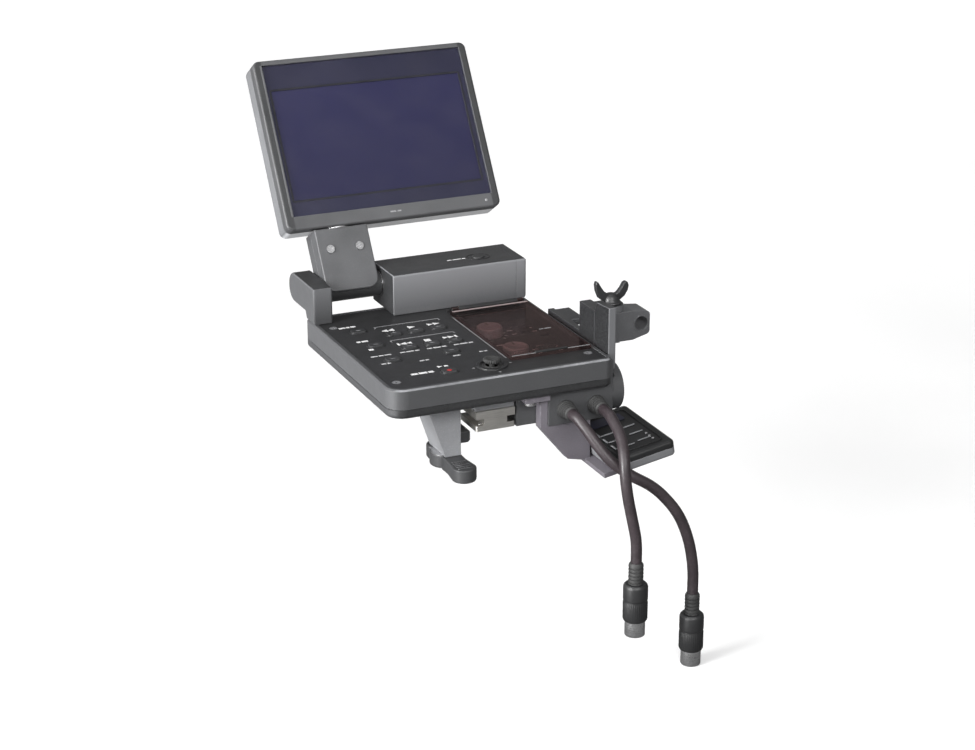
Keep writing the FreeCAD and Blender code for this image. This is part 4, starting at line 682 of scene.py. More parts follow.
LOOKS = {
    "case": ("base_shell",),
    "charcoal": ("xlr_block",),
    "block": ("hinge_block", "hinge_block_cap"),
    "ear_block": ("left_ear",),
    "shell": ("screen_rear_shell",),
    "deck": ("top_plate",),
    "tray": ("audio_tray",),
    "key": tuple("button_" + name for name in BUTTONS) + ("button_mirror",),
    "black": (
        "xlr_lever_one", "xlr_lever_two", "joystick_gimbal", "switch_channel_one", "switch_channel_two",
        "cover_hinge",
    ),
    "bezel": ("screen_front_bezel",),
    "insert": ("xlr_inserts",),
    "receiver": ("receiver_lid",),
    "receiver_base": ("receiver_case",),
    "bracket": ("receiver_bracket",),
    "grey": ("arm_front_half", "arm_rear_half"),
    "ear": ("tilt_barrel",),
    "foot": ("foot_casting",),
    "lever": ("lock_lever", "clamp_jaw"),
    "mic": ("mic_arm",),
    "mic_base": ("mic_arm_base",),
    "steel": ("arm_screws", "mounting_screws", "hinge_shaft", "swivel_shaft"),
    "screw": ("deck_screws",),
    "shoe": ("shoe_foot",),
    "gold": ("xlr_contacts",),
    "rubber": ("keypad_mat",),
    "smoke": ("audio_cover",),
    "glass": ("screen_window",),
    "display": ("lcd_module",),
    "board": ("main_board", "receiver_board"),
}


def dress_cad():
    for look, names in LOOKS.items():
        for name in names:
            node = frame["nodes"][name]
            node.data.materials.clear()
            node.data.materials.append(MAT[look])


dress_cad()


# Detail pieces. Outlines are in millimetres; each place is a matrix from on_deck, on_screen or on_receiver.

DECK_FACE = -0.2
KEY_FACE = 0.5
INK = 0.05
UPPER_ROW, LOWER_ROW = 75.4, 55.9
JOYSTICK = (53.0, 14.0)
TRAY_FLOOR = -6.4
DIAL_X, SWITCH_X = 75.0, 91.5
COVER_MIDDLE = 82.9
BLOCK_TOP = 19.3
SOCKET_MOUTH, SOCKET_Z = 113.2, -18.5
SOCKET_ROWS = (("one", 15.0), ("two", 41.0))
LEVER_AXIS = (34.3, 23.0)
MIC_AXIS = (117.0, 26.2)
RECEIVER_TOP = 7.5
RECEIVER_MIDDLE = (14.25, 24.0)


def printed(name, shapes, height, material="white", place=None, body="housing", slot="deck_plastic"):
    """Thin raised ink: every shape is a closed outline in X and Y."""
    return slabs(name, shapes, height - INK / 2, height + INK, place or on_deck(), material, body, slot)


def bar(x, y, width, height=0.7):
    left, right, low, high = x - width / 2, x + width / 2, y - height / 2, y + height / 2
    return [(left, low), (right, low), (right, high), (left, high)]


def arrow(x, y, size, way=1):
    return [
        (x - way * size / 2, y - size / 2), (x + way * size / 2, y), (x - way * size / 2, y + size / 2),
    ][:: way]


def words(x, y, widths, height=0.7, space=0.6):
    """A row of short bars that stands for a printed word group."""
    total = sum(widths) + space * (len(widths) - 1)
    left, shapes = x - total / 2, []
    for width in widths:
        shapes.append(bar(left + width / 2, y, width, height))
        left += width + space
    return shapes


def deck_print():
    """Signs and rules on the deck: plain bars, and the usual signs for moving through recordings."""
    upper = ((26.9, 3.0, -1), (29.9, 3.0, -1), (40.2, 3.4, 1), (49.5, 3.0, 1), (52.5, 3.0, 1))
    lower = ((28.2, 2.9, -1), (30.9, 2.5, -1), (48.8, 2.5, 1), (51.5, 2.9, 1))
    signs = [arrow(x, UPPER_ROW, size, way) for x, size, way in upper]
    signs += [arrow(x, LOWER_ROW, size, way) for x, size, way in lower]
    signs += [bar(x, LOWER_ROW, width, 2.9) for x, width in ((25.9, 0.9), (39.9, 2.9), (53.8, 0.9))]
    signs += words(13.0, 86.6, (3.0, 1.4, 2.4), 1.5) + words(12.4, 65.8, (1.8, 3.0), 1.7)
    signs += [bar(12.2, 54.2, 2.2, 1.8)] + words(21.5, 17.4, (3.0, 3.8, 2.4), 1.9)
    signs += [arrow(31.6, 21.8, 2.2, 1), bar(34.4, 21.6, 1.8, 1.3)]
    printed("deck_signs", signs, DECK_FACE)
    labels = words(13.2, 45.2, (3.2, 2.2, 3.0), 1.1) + words(11.6, 34.8, (2.2, 1.6), 1.2)
    for x in (27.0, 40.0, 53.0):
        labels += words(x, 45.3, (2.4, 3.6, 2.0), 1.1)
    labels += words(28.5, 32.0, (2.2, 1.6), 1.0) + words(44.0, 32.0, (3.4,), 1.0)
    labels += words(57.0, 32.4, (1.6, 1.4), 0.9)
    printed("deck_labels", labels, DECK_FACE, "pale")
    rules = [bar(40.0, 81.6, 32.0, 0.55), bar(39.6, 61.9, 31.0, 0.55), bar(62.6, 50.0, 0.4, 60.0)]
    rules += [bar(x, y, 0.5, 2.0) for x, y in ((24.2, 80.6), (55.8, 80.6), (24.3, 60.9), (54.9, 60.9))]
    printed("deck_rules", rules, DECK_FACE, "dim")


def key_print():
    """A mark on each key, red and round on the record key, and the raised moulded rim round the key."""
    for name in BUTTONS:
        low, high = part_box("button_" + name)
        middle = (low + high) / 2 - DECK
        x, y = middle.x / MM, middle.y / MM
        shape, tone = (circle(1.1, x, y, 24), "red") if name == "record" else (bar(x, y, 2.2, 0.35), "dim")
        printed("mark_" + name, [shape], KEY_FACE, tone, body="button_" + name)
        steps = (
            (8.3, 5.9, 1.9, -0.24), (8.0, 5.6, 1.75, 0.12), (7.4, 5.0, 1.45, 0.12), (7.2, 4.8, 1.35, -0.24),
        )
        sections = [(rounded(wide, deep, corner, x, y), height) for wide, deep, corner, height in steps]
        band("rim_" + name, sections, on_deck(), "deck", *DECK_PLATE, smooth=50)


def joystick():
    """Dished cap with a knurled edge above a ribbed rubber boot."""
    x, y = JOYSTICK
    place = on_deck(x, y, -6.0)
    stem = [(0, -0.9), (1.2, -0.9), (1.2, 1.9), (5.0, 2.1), (5.0, 2.6), (1.35, 2.9), (1.2, 7.3)]
    dish = [
        (3.3, 7.4), (3.85, 7.8), (3.9, 8.2), (3.9, 8.7), (3.7, 9.1), (3.2, 9.3), (2.6, 9.2), (1.6, 8.75),
        (0, 8.6),
    ]
    knurl = {"ribs": 24, "rib_deep": 0.35, "rib_span": (7.7, 8.8), "smooth": 40}
    cap = lathe("joystick_top", stem + dish, place, "rubber", "joystick_cap", "soft_rubber", 96, **knurl)
    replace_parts(cap, "joystick_cap")
    cross = [(0, -2.7), (0.42, -2.7), (0.45, -2.6), (0.45, 2.6), (0.42, 2.7), (0, 2.7)]
    lathe("joystick_cross_bar", cross, place @ TO_RIGHT, "steel", "joystick_cap", "bright_steel", 24)
    outside = [(5.15, 5.0), (5.15, 5.75), (4.7, 6.05), (4.3, 5.8), (3.9, 6.1), (3.45, 5.85), (3.1, 6.15)]
    inside = [(2.8, 6.0), (2.8, 5.8), (3.4, 5.5), (4.6, 5.3)]
    boot = [(circle(radius, steps=64), height) for radius, height in outside + inside]
    band("joystick_boot", boot, place, "rubber", *SOFT, smooth=60)
    washer("joystick_bezel", 7.0, 5.25, 5.9, 6.45, place, "black", *DECK_PLATE, 96, bevel=0.2)
    ticks = [arrow(x + 9.0, y, 1.3, 1), arrow(x - 9.0, y, 1.3, -1)]
    ticks.append([(x - 0.7, y + 8.4), (x + 0.7, y + 8.4), (x, y + 9.6)])
    ticks.append([(x - 0.7, y - 8.4), (x, y - 9.6), (x + 0.7, y - 8.4)])
    printed("joystick_ticks", ticks, DECK_FACE, "dim")


def dial_ticks(y):
    """Eleven tapered marks round a dial, over its turn of 280 degrees."""
    corners = ((7.0, -0.028), (8.3, -0.024), (8.3, 0.024), (7.0, 0.028))
    ticks = []
    for k in range(11):
        middle = math.radians(90 - 140 + 28 * k)
        spots = [turned(radius, middle + off) for radius, off in corners]
        ticks.append([(DIAL_X + across, y + along) for across, along in spots])
    return ticks


def audio_controls():
    """Knurled dials with pointers, tick marks round them, and two slide switches on the tray's floor."""
    knob = [(0, -6.2), (5.7, -6.2), (6.0, -5.9), (6.0, -2.3), (5.85, -2.0)]
    knob += [(5.3, -1.65), (4.7, -1.6), (4.5, -1.75), (0, -1.8)]
    knurl = {"ribs": 30, "rib_deep": 0.45, "rib_span": (-5.95, -2.2), "smooth": 40}
    stem = [(0, -7.6), (1.35, -7.6), (1.5, -7.45), (1.5, -6.15), (0, -6.15)]
    for name, y in (("one", 37.0), ("two", 66.0)):
        place, home = on_deck(DIAL_X, y), ("dial_channel_" + name, "dark_parts")
        dial = lathe("dial_knob_" + name, knob, place, "dial", *home, 120, **knurl)
        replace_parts(dial, "dial_channel_" + name)
        lathe("dial_stem_" + name, stem, place, "steel", *home, 32)
        printed("dial_pointer_" + name, [bar(0, 3.3, 0.6, 3.2)], -1.72, "black", place, *home)
        printed("dial_ticks_" + name, dial_ticks(y), TRAY_FLOOR)
    for name, y in (("one", 38.0), ("two", 66.0)):
        marks = ((86.4, 2.6, 2.8), (86.4, -2.6, 2.0), (96.6, 2.6, 2.0), (96.6, -2.6, 2.8))
        shapes = [bar(x, y + off, width, 0.7) for x, off, width in marks]
        shapes.append(bar(SWITCH_X, y + 6.2, 5.6, 0.8))
        printed("switch_marks_" + name, shapes, TRAY_FLOOR)
        ribs = [bar(SWITCH_X, y - 2.0 + off, 3.2, 0.35) for off in (-0.9, 0.0, 0.9)]
        slabs(
            "switch_grip_" + name, ribs, -3.25, -3.0, on_deck(), "black", "switch_channel_" + name,
            "dark_parts",
        )
        well = (rounded(7.2, 10.6, 1.0, SWITCH_X, y), rounded(6.2, 9.6, 0.5, SWITCH_X, y))
        heights = (TRAY_FLOOR - 0.02, TRAY_FLOOR + 0.5)
        ring_frame("switch_well_" + name, *well, *heights, on_deck(), "deck", *DECK_PLATE)
    labels = words(DIAL_X, 52.0, (4.0, 3.0), 1.0) + words(DIAL_X, 24.6, (4.0, 3.0), 1.0)
    printed("audio_labels", labels + words(SWITCH_X, 26.5, (3.0, 4.0), 0.9), TRAY_FLOOR)


def case_outline(out):
    """The housing's left, near and right sides as seen from above, moved outwards."""
    wide, deep, turn = 105.5, 100.0, 8.0
    path = [(-out, deep)]
    for middle_x, start in ((turn, 180), (wide - turn, 270)):
        for step in range(13):
            angle = math.radians(start + 7.5 * step)
            path.append((middle_x + (turn + out) * math.cos(angle), turn + (turn + out) * math.sin(angle)))
    path.append((wide + out, deep))
    return path


def parting_bead():
    """The fine raised seam where the upper and lower case halves meet."""
    mesh = bmesh.new()
    rings = []
    for out, z in ((-0.05, -0.16), (0.05, -0.12), (0.07, 0.0), (0.05, 0.12), (-0.05, 0.16)):
        rings.append([mesh.verts.new((x, y, PARTING_Z + z)) for x, y in case_outline(out)])
    for one, two in zip(rings, rings[1:] + rings[:1]):
        for k in range(len(one) - 1):
            mesh.faces.new((one[k], one[k + 1], two[k + 1], two[k]))
    mesh.faces.new([ring[0] for ring in rings])
    mesh.faces.new([ring[-1] for ring in rings][::-1])
    finish_mesh("parting_bead", mesh, on_deck(), "black", *CASE, smooth=60)


def cover_details():
    """A finger lip at the lid's near edge, and painted highlights as pale strips across each end, the far one
    along the hinge rail.
    """
    slabs(
        "cover_lip", [rounded(16.0, 1.5, 0.6, 83.0, 16.9)], 1.3, 2.1, on_deck(), "black", *COVER, bevel=0.25,
    )
    # Painted highlight strips: grey along the near end, rose along the hinge rail at the far end.
    slabs("cover_near_highlight", [bar(COVER_MIDDLE, 16.6, 38.2, 0.5)], 1.4, 1.56, on_deck(), "line", *COVER)
    slabs(
        "cover_rail_highlight", [bar(COVER_MIDDLE, 82.9, 38.2, 1.3)], 1.4, 1.58, on_deck(), "rose", *COVER, bevel=0.05,
    )
    printed("cover_mark", words(93.0, 44.5, (2.0, 3.2), 0.8), 1.5, "dim", None, *COVER)


def hinge_details():
    """Washers at the barrel's ends, and a printed mark and a raised rim on the block's top."""
    axis = (HINGE - DECK) / MM
    for name, x, thick in (("left", 9.43, 0.24), ("right", 37.95, 0.4)):
        place = on_deck(x, axis.y, axis.z) @ TO_RIGHT
        washer("barrel_washer_" + name, 5.7, 2.56, 0, thick, place, "steel", "arm", "grey_metal", bevel=0.08)
    printed("block_mark", words(75.0, 104.3, (2.2, 4.2, 1.6), 1.0), BLOCK_TOP, slot="charcoal_plastic")
    rims = (rounded(11.4, 8.6, 4.2, 86.0, 104.0, 10), rounded(10.2, 7.4, 3.6, 86.0, 104.0, 10))
    heights = (BLOCK_TOP - 0.05, BLOCK_TOP + 0.22)
    ring_frame("block_button_rim", *rims, *heights, on_deck(), "black", *CASE, bevel=0.06)


def screen_details():
    """Glass border, picture surround, lamp, rear rib, louvres and screws of the screen."""
    place = on_screen() @ TO_NEAR
    front, rear = SCREEN_HALF, -SCREEN_HALF
    outer = rounded(99.6, 73.6, 0.8, 51.5, 71.5)
    inner = rounded(PICTURE_WIDE, PICTURE_TALL, 0.5, *PICTURE_MIDDLE)
    ring_frame("glass_border", outer, inner, front - 1.68, front - 1.35, place, "border", *DISPLAY)
    outer = rounded(PICTURE_WIDE + 1.6, PICTURE_TALL + 1.6, 1.3, *PICTURE_MIDDLE)
    inner = rounded(PICTURE_WIDE - 0.4, PICTURE_TALL - 0.4, 0.4, *PICTURE_MIDDLE)
    ring_frame("picture_outline", outer, inner, front - 1.5, front - 1.32, place, "black", *DISPLAY)
    # A paler strip down the left upright beside the window: a painted highlight where the frame bevels into the
    # glass.
    slabs("window_edge_highlight", [bar(0.95, 71.5, 0.9, 74.0)], front - 0.03, front + 0.03, place, "rim", *SCREEN)
    lamp = [(0, 0), (0.7, 0), (0.7, 0.12), (0.45, 0.26), (0, 0.3)]
    lathe("screen_lamp", lamp, on_screen(98.0, 0.05 - front, 31.4) @ TO_NEAR, "dim", *SCREEN, 24)
    slabs(
        "bezel_mark", words(51.5, 31.4, (3.0, 2.0), 0.7), front - 0.02, front + 0.04, place, "dim", *SCREEN,
    )
    ribs = (rounded(86, 58, 4, 51.2, 71), rounded(84.8, 56.8, 3.4, 51.2, 71))
    ring_frame("rear_rib", *ribs, rear - 0.35, rear + 0.05, place, "shell", *SCREEN, bevel=0.15)
    louvres = [rounded(1.6, 12, 0.78, 35 + 4.0 * k, 92, 4) for k in range(9)]
    slabs("rear_louvres", louvres, rear - 0.22, rear + 0.02, place, "shell", *SCREEN, bevel=0.12)
    for k, (x, z) in enumerate(((2.6, 33.5), (99.8, 33.5), (2.6, 105.5), (99.8, 105.5))):
        screw_head(f"rear_screw_{k}", on_screen(x, front - 0.05, z) @ TO_FAR, 1.7, SCREEN)


def screw_head(name, place, radius, home):
    """A domed head with a cross recess."""
    mesh = bmesh.new()
    arm, reach = 0.22 * radius, 0.62 * radius
    corners = [
        (sx * x, sy * y) for x,
        y in ((arm, arm), (reach, arm), (arm, reach)) for sx in (1, -1) for sy in (1, -1)
    ]
    corners.sort(key=lambda point: math.atan2(point[1], point[0]))
    top = ring(mesh, corners, 0.42)
    under = ring(mesh, [(x * 0.8, y * 0.8) for x, y in corners], 0.0)
    join_rings(mesh, top, under)
    mesh.faces.new(under)
    rings = [top]
    for share, height in ((0.82, 0.36), (1.0, 0.05), (1.0, -0.1)):
        spots = [turned(radius * share, math.radians(angle)) for angle in range(-180, 180, 30)]
        rings.append(ring(mesh, spots, height))
    for one, two in zip(rings, rings[1:]):
        join_rings(mesh, one, two)
    mesh.faces.new(rings[-1][::-1])
    return finish_mesh(name, mesh, place, "dark_steel", *home, smooth=50)


def socket_details():
    """Latch keyways, insert rims, seals and the screws round the two microphone sockets."""
    marks = []
    for name, y in SOCKET_ROWS:
        axis = on_deck(SOCKET_MOUTH, y, SOCKET_Z) @ TO_RIGHT
        washer("socket_rim_" + name, 10.85, 9.6, -0.35, 0.0, axis, "black", *CASE, 96, bevel=0.12)
        washer("insert_rim_" + name, 7.9, 7.2, -2.2, -1.9, axis, "insert", *DARK, 96, bevel=0.08)
        washer("socket_seal_" + name, 9.5, 8.2, -22.0, -19.0, axis, "rubber", *SOFT, 64)
        turn = axis @ Matrix.Rotation(math.radians(90), 4, "Z")
        slabs("insert_key_" + name, [bar(0.0, 6.9, 2.2, 0.9)], -2.25, -1.75, turn, "insert", *DARK)
        ribs = [bar(109.25 + 0.45 * k, y, 0.22, 4.6) for k in range(3)]
        home = ("xlr_lever_" + name, "dark_parts")
        slabs("lever_ribs_" + name, ribs, -3.95, -3.72, on_deck(), "black", *home, bevel=0.06)
        for k, (dy, dz) in enumerate(((-10.2, 9.0), (10.2, -9.0))):
            place = on_deck(107.52, y + dy, SOCKET_Z + dz) @ TO_RIGHT
            screw_head(f"socket_screw_{name}_{k}", place, 1.5, CASE)
        for shape in words(0.0, 0.0, (1.8, 3.0), 0.7):
            marks.append([(along + y, up - 4.9) for along, up in shape])
    place = on_deck(107.5, 0, 0) @ ALONG_X @ Matrix.Translation((0, -2.6 * MM, 0))
    slabs("socket_marks", marks, -0.02, 0.04, place, "dim", *CASE)


def arc(radius, start, sweep_by, steps, y=0.0):
    """Points of an arc about a point on the Y axis; angles in degrees."""
    spots = (turned(radius, math.radians(start + sweep_by * k / steps)) for k in range(steps + 1))
    return [(across, y + along) for across, along in spots]


def stadium(reach, back, tip, hub, steps=14):
    """Outline of a two-ended arm that widens into a hub at its middle."""
    waist = tip * 0.82
    points = arc(tip, 180, 180, steps, -reach) + [(waist, -reach * 0.62), (waist + 0.2, -hub * 1.05)]
    points += arc(hub, -55, 110, steps) + [(tip * 0.95, back * 0.75)]
    points += arc(tip * 0.9, 0, 180, steps, back) + [(-tip * 0.95, back * 0.75)]
    return points + arc(hub, 125, 110, steps) + [(-waist - 0.2, -hub * 1.05), (-waist, -reach * 0.62)]


def lever():
    """Cast lock lever with a waisted arm, grip ribs and the head of its bolt."""
    place = on_deck(*LEVER_AXIS)
    finish = {"smooth": 50, "bevel": 0.9, "segments": 3}
    arm = slabs("lever_arm", [stadium(21.0, 9.0, 5.5, 7.0)], -46.5, -40.2, place, "lever", *LEVER, **finish)
    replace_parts(arm, "lock_lever")
    bolt = [(0, -40.6), (2.0, -40.6), (2.0, -23.6), (1.6, -23.2), (0, -23.2)]
    lathe("lever_bolt", bolt, place, "steel", "lock_lever", "bright_steel", 40)
    hub = [(0, -41.0), (6.8, -41.0), (6.8, -40.3), (6.4, -40.1), (0, -40.1)]
    lathe("lever_washer", hub, place, "steel", *LEVER, 64)
    ribs = [rounded(7.4, 0.9, 0.4, 0.0, -23.2 + 2.0 * k, 3) for k in range(5)]
    slabs("lever_grip", ribs, -40.3, -39.9, place, "lever", *LEVER, bevel=0.15)
    under = on_deck(*LEVER_AXIS, -46.5) @ TO_DOWN
    lathe("lever_cap", [(0, -0.2), (4.4, -0.2), (4.4, 0.0), (0, 0.0)], under, "lever", *LEVER, 48)


def foot_details():
    """Ribs and fixings of the foot, and the shoe's contact spring."""
    ribs = [bar(41.4, y, 34.0, 1.4) for y in (33.6, 45.0, 56.0)]
    ribs += [bar(x, 47.0, 1.4, 27.0) for x in (30.0, 52.0)]
    slabs("foot_ribs", ribs, -17.9, -16.95, on_deck(), "foot", *CASTING, bevel=0.25)
    spring = [rounded(5.4, 15.0, 1.4, 52.75, 18.5)]
    slabs("shoe_spring", spring, -25.95, -25.3, on_deck(), "steel", *SHOE, bevel=0.2)
    rivet = [(0, 0.0), (1.1, 0.0), (1.1, 0.1), (0.8, 0.22), (0, 0.28)]
    for k, (x, y) in enumerate(((46.5, 12.5), (59.0, 12.5), (46.5, 24.5), (59.0, 24.5))):
        lathe(f"shoe_rivet_{k}", rivet, on_deck(x, y, -28.5 + 2.6), "steel", *SHOE, 24)


def receiver_details():
    """Recessed panel with raised key ribs, a window, lamps, a seam bead and a pad on the receiver's case."""
    top, place = RECEIVER_TOP, on_receiver()
    rims = (rounded(23.5, 40.5, 2.6, *RECEIVER_MIDDLE), rounded(22.3, 39.3, 2.0, *RECEIVER_MIDDLE))
    ring_frame("receiver_panel_rim", *rims, top - 0.05, top + 0.28, place, "receiver", *CASE, bevel=0.1)
    ribs = []
    for y in (9.0, 17.0, 25.0):
        ribs += [bar(9.2, y, 9.6, 0.8), bar(4.8, y + 2.2, 0.8, 5.2), bar(19.4, y + 1.0, 6.6, 0.8)]
    slabs("receiver_ribs", ribs, top - 0.05, top + 0.32, place, "receiver_ridge", *CASE, bevel=0.1)
    window = [rounded(16.0, 7.6, 1.2, RECEIVER_MIDDLE[0], 37.6)]
    slabs("receiver_window", window, top - 0.02, top + 0.12, place, "border", *CASE, bevel=0.05)
    lamp = [(0, 0), (0.6, 0), (0.6, 0.15), (0.35, 0.3), (0, 0.32)]
    for k in range(3):
        lathe(f"receiver_lamp_{k}", lamp, on_receiver(22.6, 8.0 + 3.2 * k, top), "dim", *CASE, 20)
    rims = (rounded(28.62, 48.12, 4.0, *RECEIVER_MIDDLE), rounded(28.0, 47.5, 3.8, *RECEIVER_MIDDLE))
    ring_frame("receiver_seam_bead", *rims, 3.75, 4.02, place, "receiver_base", *CASE, bevel=0.05)
    slabs("receiver_pad", [rounded(20.0, 30.0, 2.0, 11.0, 20.0)], -0.12, 0.02, place, "rubber", *SOFT)


def wing():
    """Cast thumb screw: one tall pointed wing and one lower rounded wing on a ribbed hub."""
    place = on_deck(*MIC_AXIS)
    hub = [
        (0, 15.95), (4.3, 15.95), (4.6, 16.2), (4.6, 16.7), (4.0, 17.1), (3.6, 18.2), (3.2, 19.6),
        (2.2, 20.4), (0, 20.5),
    ]
    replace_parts(lathe("wing_hub", hub, place, "wing", *WING, 64, smooth=50), "wing_screw")
    bolt = [(0, 0.0), (2.4, 0.0), (2.9, 0.5), (2.9, 16.0), (0, 16.0)]
    lathe("wing_bolt", bolt, place, "steel", *WING, 40)
    tall = [
        (-1.0, 16.6), (-3.6, 16.9), (-6.6, 19.4), (-7.9, 22.6), (-8.35, 25.6), (-7.9, 27.2), (-7.0, 27.0),
    ]
    tall += [(-5.6, 24.6), (-3.8, 22.0), (-1.6, 20.6), (0.6, 19.8)]
    low = [(1.0, 16.6), (3.6, 16.9), (6.4, 19.0), (8.0, 21.6), (8.35, 23.6), (7.9, 25.2), (6.8, 25.7)]
    low += [(5.6, 25.0), (4.4, 22.8), (2.6, 20.8), (-0.6, 19.8)]
    finish = {"smooth": 60, "bevel": 0.6, "segments": 3}
    for name, outline in (("tall", tall), ("low", low[::-1])):
        slabs("wing_" + name, [outline], -1.35, 1.35, place @ TO_NEAR, "wing", *WING, **finish)


def mic_arm_details():
    """The bracket's near web, a washer under the hub, the bushes of the cross hole and the pivot's nut."""
    web = [(6.0, -7.6), (11.0, -7.6), (11.0, -1.9), (20.5, -1.9), (20.5, 15.6), (18.4, 20.2), (6.0, 21.2)]
    finish = {"bevel": 0.5, "segments": 3}
    slabs("mic_bracket_web", [web], 105.75, 109.5, on_deck() @ ALONG_X, "mic_base", *CASTING, **finish)
    x, y = MIC_AXIS
    washer("mic_washer", 5.5, 3.0, 12.72, 12.79, on_deck(x, y), "steel", *MIC_ARM, 96)
    for name, off, turn in (("near", -5.6, TO_NEAR), ("far", 5.6, TO_FAR)):
        place = on_deck(129.5, y + off, 6.4) @ turn
        washer("bush_" + name, 3.9, 3.22, 0.0, 0.15, place, "mic", *MIC_ARM, 64, bevel=0.06)
    washer("pivot_nut", 5.0, 2.98, 0.0, 0.9, on_deck(x, y, -1.0) @ TO_DOWN, "steel", *MIC_ARM, 6)


# Cables


def rounded_route(points, steps=9):
    """The cable's centre line: straight runs joined by arcs as wide as the runs allow."""
    points = [Vector(point) for point in points]
    path = [points[0]]
    for before, corner, after in zip(points, points[1:], points[2:]):
        back, ahead = (before - corner).normalized(), (after - corner).normalized()
        reach = min((before - corner).length, (after - corner).length) / 2
        bisector = (back + ahead).normalized()
        cosine = bisector.dot(back)
        radius = reach * math.sqrt(1 - cosine**2) / cosine
        centre = corner + bisector * reach / cosine
        one = (corner + back * reach - centre).normalized()
        two = (corner + ahead * reach - centre).normalized()
        turn = math.acos(max(-1.0, min(1.0, one.dot(two))))
        for k in range(steps + 1):
            share = k / steps
            way = (one * math.sin((1 - share) * turn) + two * math.sin(share * turn)) / math.sin(turn)
            point = centre + way * radius
            if (point - path[-1]).length > 0.05:
                path.append(point)
    path.append(points[-1])
    return path


def sweep(name, path, radius, place, material, body, slot, steps=28):
    """A round section carried along a path without twisting."""
    mesh = bmesh.new()
    rings = []
    side = Vector((1, 0, 0))
    for k, point in enumerate(path):
        way = (path[min(k + 1, len(path) - 1)] - path[max(k - 1, 0)]).normalized()
        side = (side - way * side.dot(way)).normalized()
        other = way.cross(side)
        spots = [turned(radius, 2 * math.pi * s / steps) for s in range(steps)]
        rings.append([mesh.verts.new(point + side * across + other * along) for across, along in spots])
    for one, two in zip(rings, rings[1:]):
        join_rings(mesh, one, two)
    mesh.faces.new(rings[0][::-1])
    mesh.faces.new(rings[-1])
    return finish_mesh(name, mesh, place, material, body, slot, smooth=60)


# Corners of each cable's hanging route, from the deck's corner
MONITOR_ROUTE = (
    (84.0, -3.0, -22.0),
    (84.0, -7.0, -22.0),
    (86.6, -12.0, -26.5),
    (89.6, -16.5, -32.5),
    (94.0, -21.5, -39.5),
    (101.5, -25.5, -45.5),
    (112.5, -28.0, -52.0),
    (123.5, -30.0, -65.0),
    (129.5, -30.0, -80.0),
    (132.0, -30.0, -94.0),
    (132.0, -30.0, -106.0),
)
AUDIO_ROUTE = (
    (99.0, -3.0, -22.0),
    (99.0, -9.5, -22.0),
    (98.6, -22.0, -28.0),
    (96.6, -29.0, -34.5),
    (95.6, -32.4, -43.5),
    (96.8, -33.0, -53.0),
    (101.5, -33.0, -74.0),
    (101.5, -33.0, -84.0),
)


def cables():
    for name, route in (("monitor", MONITOR_ROUTE), ("audio", AUDIO_ROUTE)):
        path = [Vector((route[0][0], 0.5, route[0][2]))] + rounded_route(route)
        path.append(Vector(route[-1]) + Vector((0, 0, -0.5)))
        jacket = sweep(name + "_jacket", path, 2.5, on_deck(), "jacket", *SOFT)
        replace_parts(jacket, name + "_cable")
        boot(name, route[0])
        plug(name, route[-1])
    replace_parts(bpy.data.objects["monitor_boot"], "cable_boots")
    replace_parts(bpy.data.objects["monitor_plug_grip"], "cable_plugs")


def boot(name, start):
    """Ribbed strain relief from the socket block to the cable."""
    profile = [(0, 0), (4.2, 0), (4.2, 0.9), (3.9, 1.1)]
    for k in range(4):
        z, r = 1.5 + 1.35 * k, 3.95 - 0.22 * k
        profile += [(r - 0.55, z - 0.15), (r - 0.55, z + 0.25), (r, z + 0.4), (r, z + 0.9)]
    profile += [(2.9, 6.9), (2.55, 7.1), (0, 7.1)]
    lathe(
        name + "_boot", profile, on_deck(start[0], 4.05, start[2]) @ TO_NEAR, "rubber", *SOFT, 48, smooth=40,
    )


def plug(name, end):
    """Multi-pin plug: ribbed relief, knurled sleeve, bright nose and its pins."""
    place = on_deck(*end)
    relief = [(0, 0.0), (2.7, 0.0), (3.0, -0.4)]
    for k in range(5):
        top = -1.0 - 1.7 * k
        relief += [(3.3, top), (3.4, top - 0.9), (2.9, top - 1.1), (2.9, top - 1.5)]
    relief += [(3.4, -9.6), (3.4, -10.1), (0, -10.1)]
    lathe(name + "_plug_relief", relief, place, "rubber", *PLUG, 48, smooth=40)
    grip = [(0, -10.0), (4.6, -10.0), (5.3, -10.7), (5.57, -11.6), (5.57, -17.4), (5.3, -17.7), (5.3, -18.5)]
    grip += [(5.57, -18.8), (5.57, -26.9), (5.2, -27.6), (4.7, -28.0), (0, -28.0)]
    knurl = {"ribs": 36, "rib_deep": 0.3, "rib_span": (-26.9, -18.7), "smooth": 40}
    lathe(name + "_plug_grip", grip, place, "black", *PLUG, 144, **knurl)
    nose = [(4.6, -27.8), (4.6, -34.7), (4.4, -35.05), (4.0, -35.05), (3.9, -34.7), (3.9, -28.4)]
    lathe(name + "_plug_nose", nose, place, "steel", *PLUG, 64, smooth=40)
    core = [(0, -28.3), (3.7, -28.3), (3.7, -32.6), (3.5, -32.8), (0, -32.8)]
    lathe(name + "_plug_core", core, place, "insert", *PLUG, 48)
    pins = [circle(0.4, *turned(2.3, 2 * math.pi * k / 6), 12) for k in range(6)]
    slabs(name + "_plug_pins", pins, -34.2, -32.6, place, "gold", *PLUG, smooth=50)


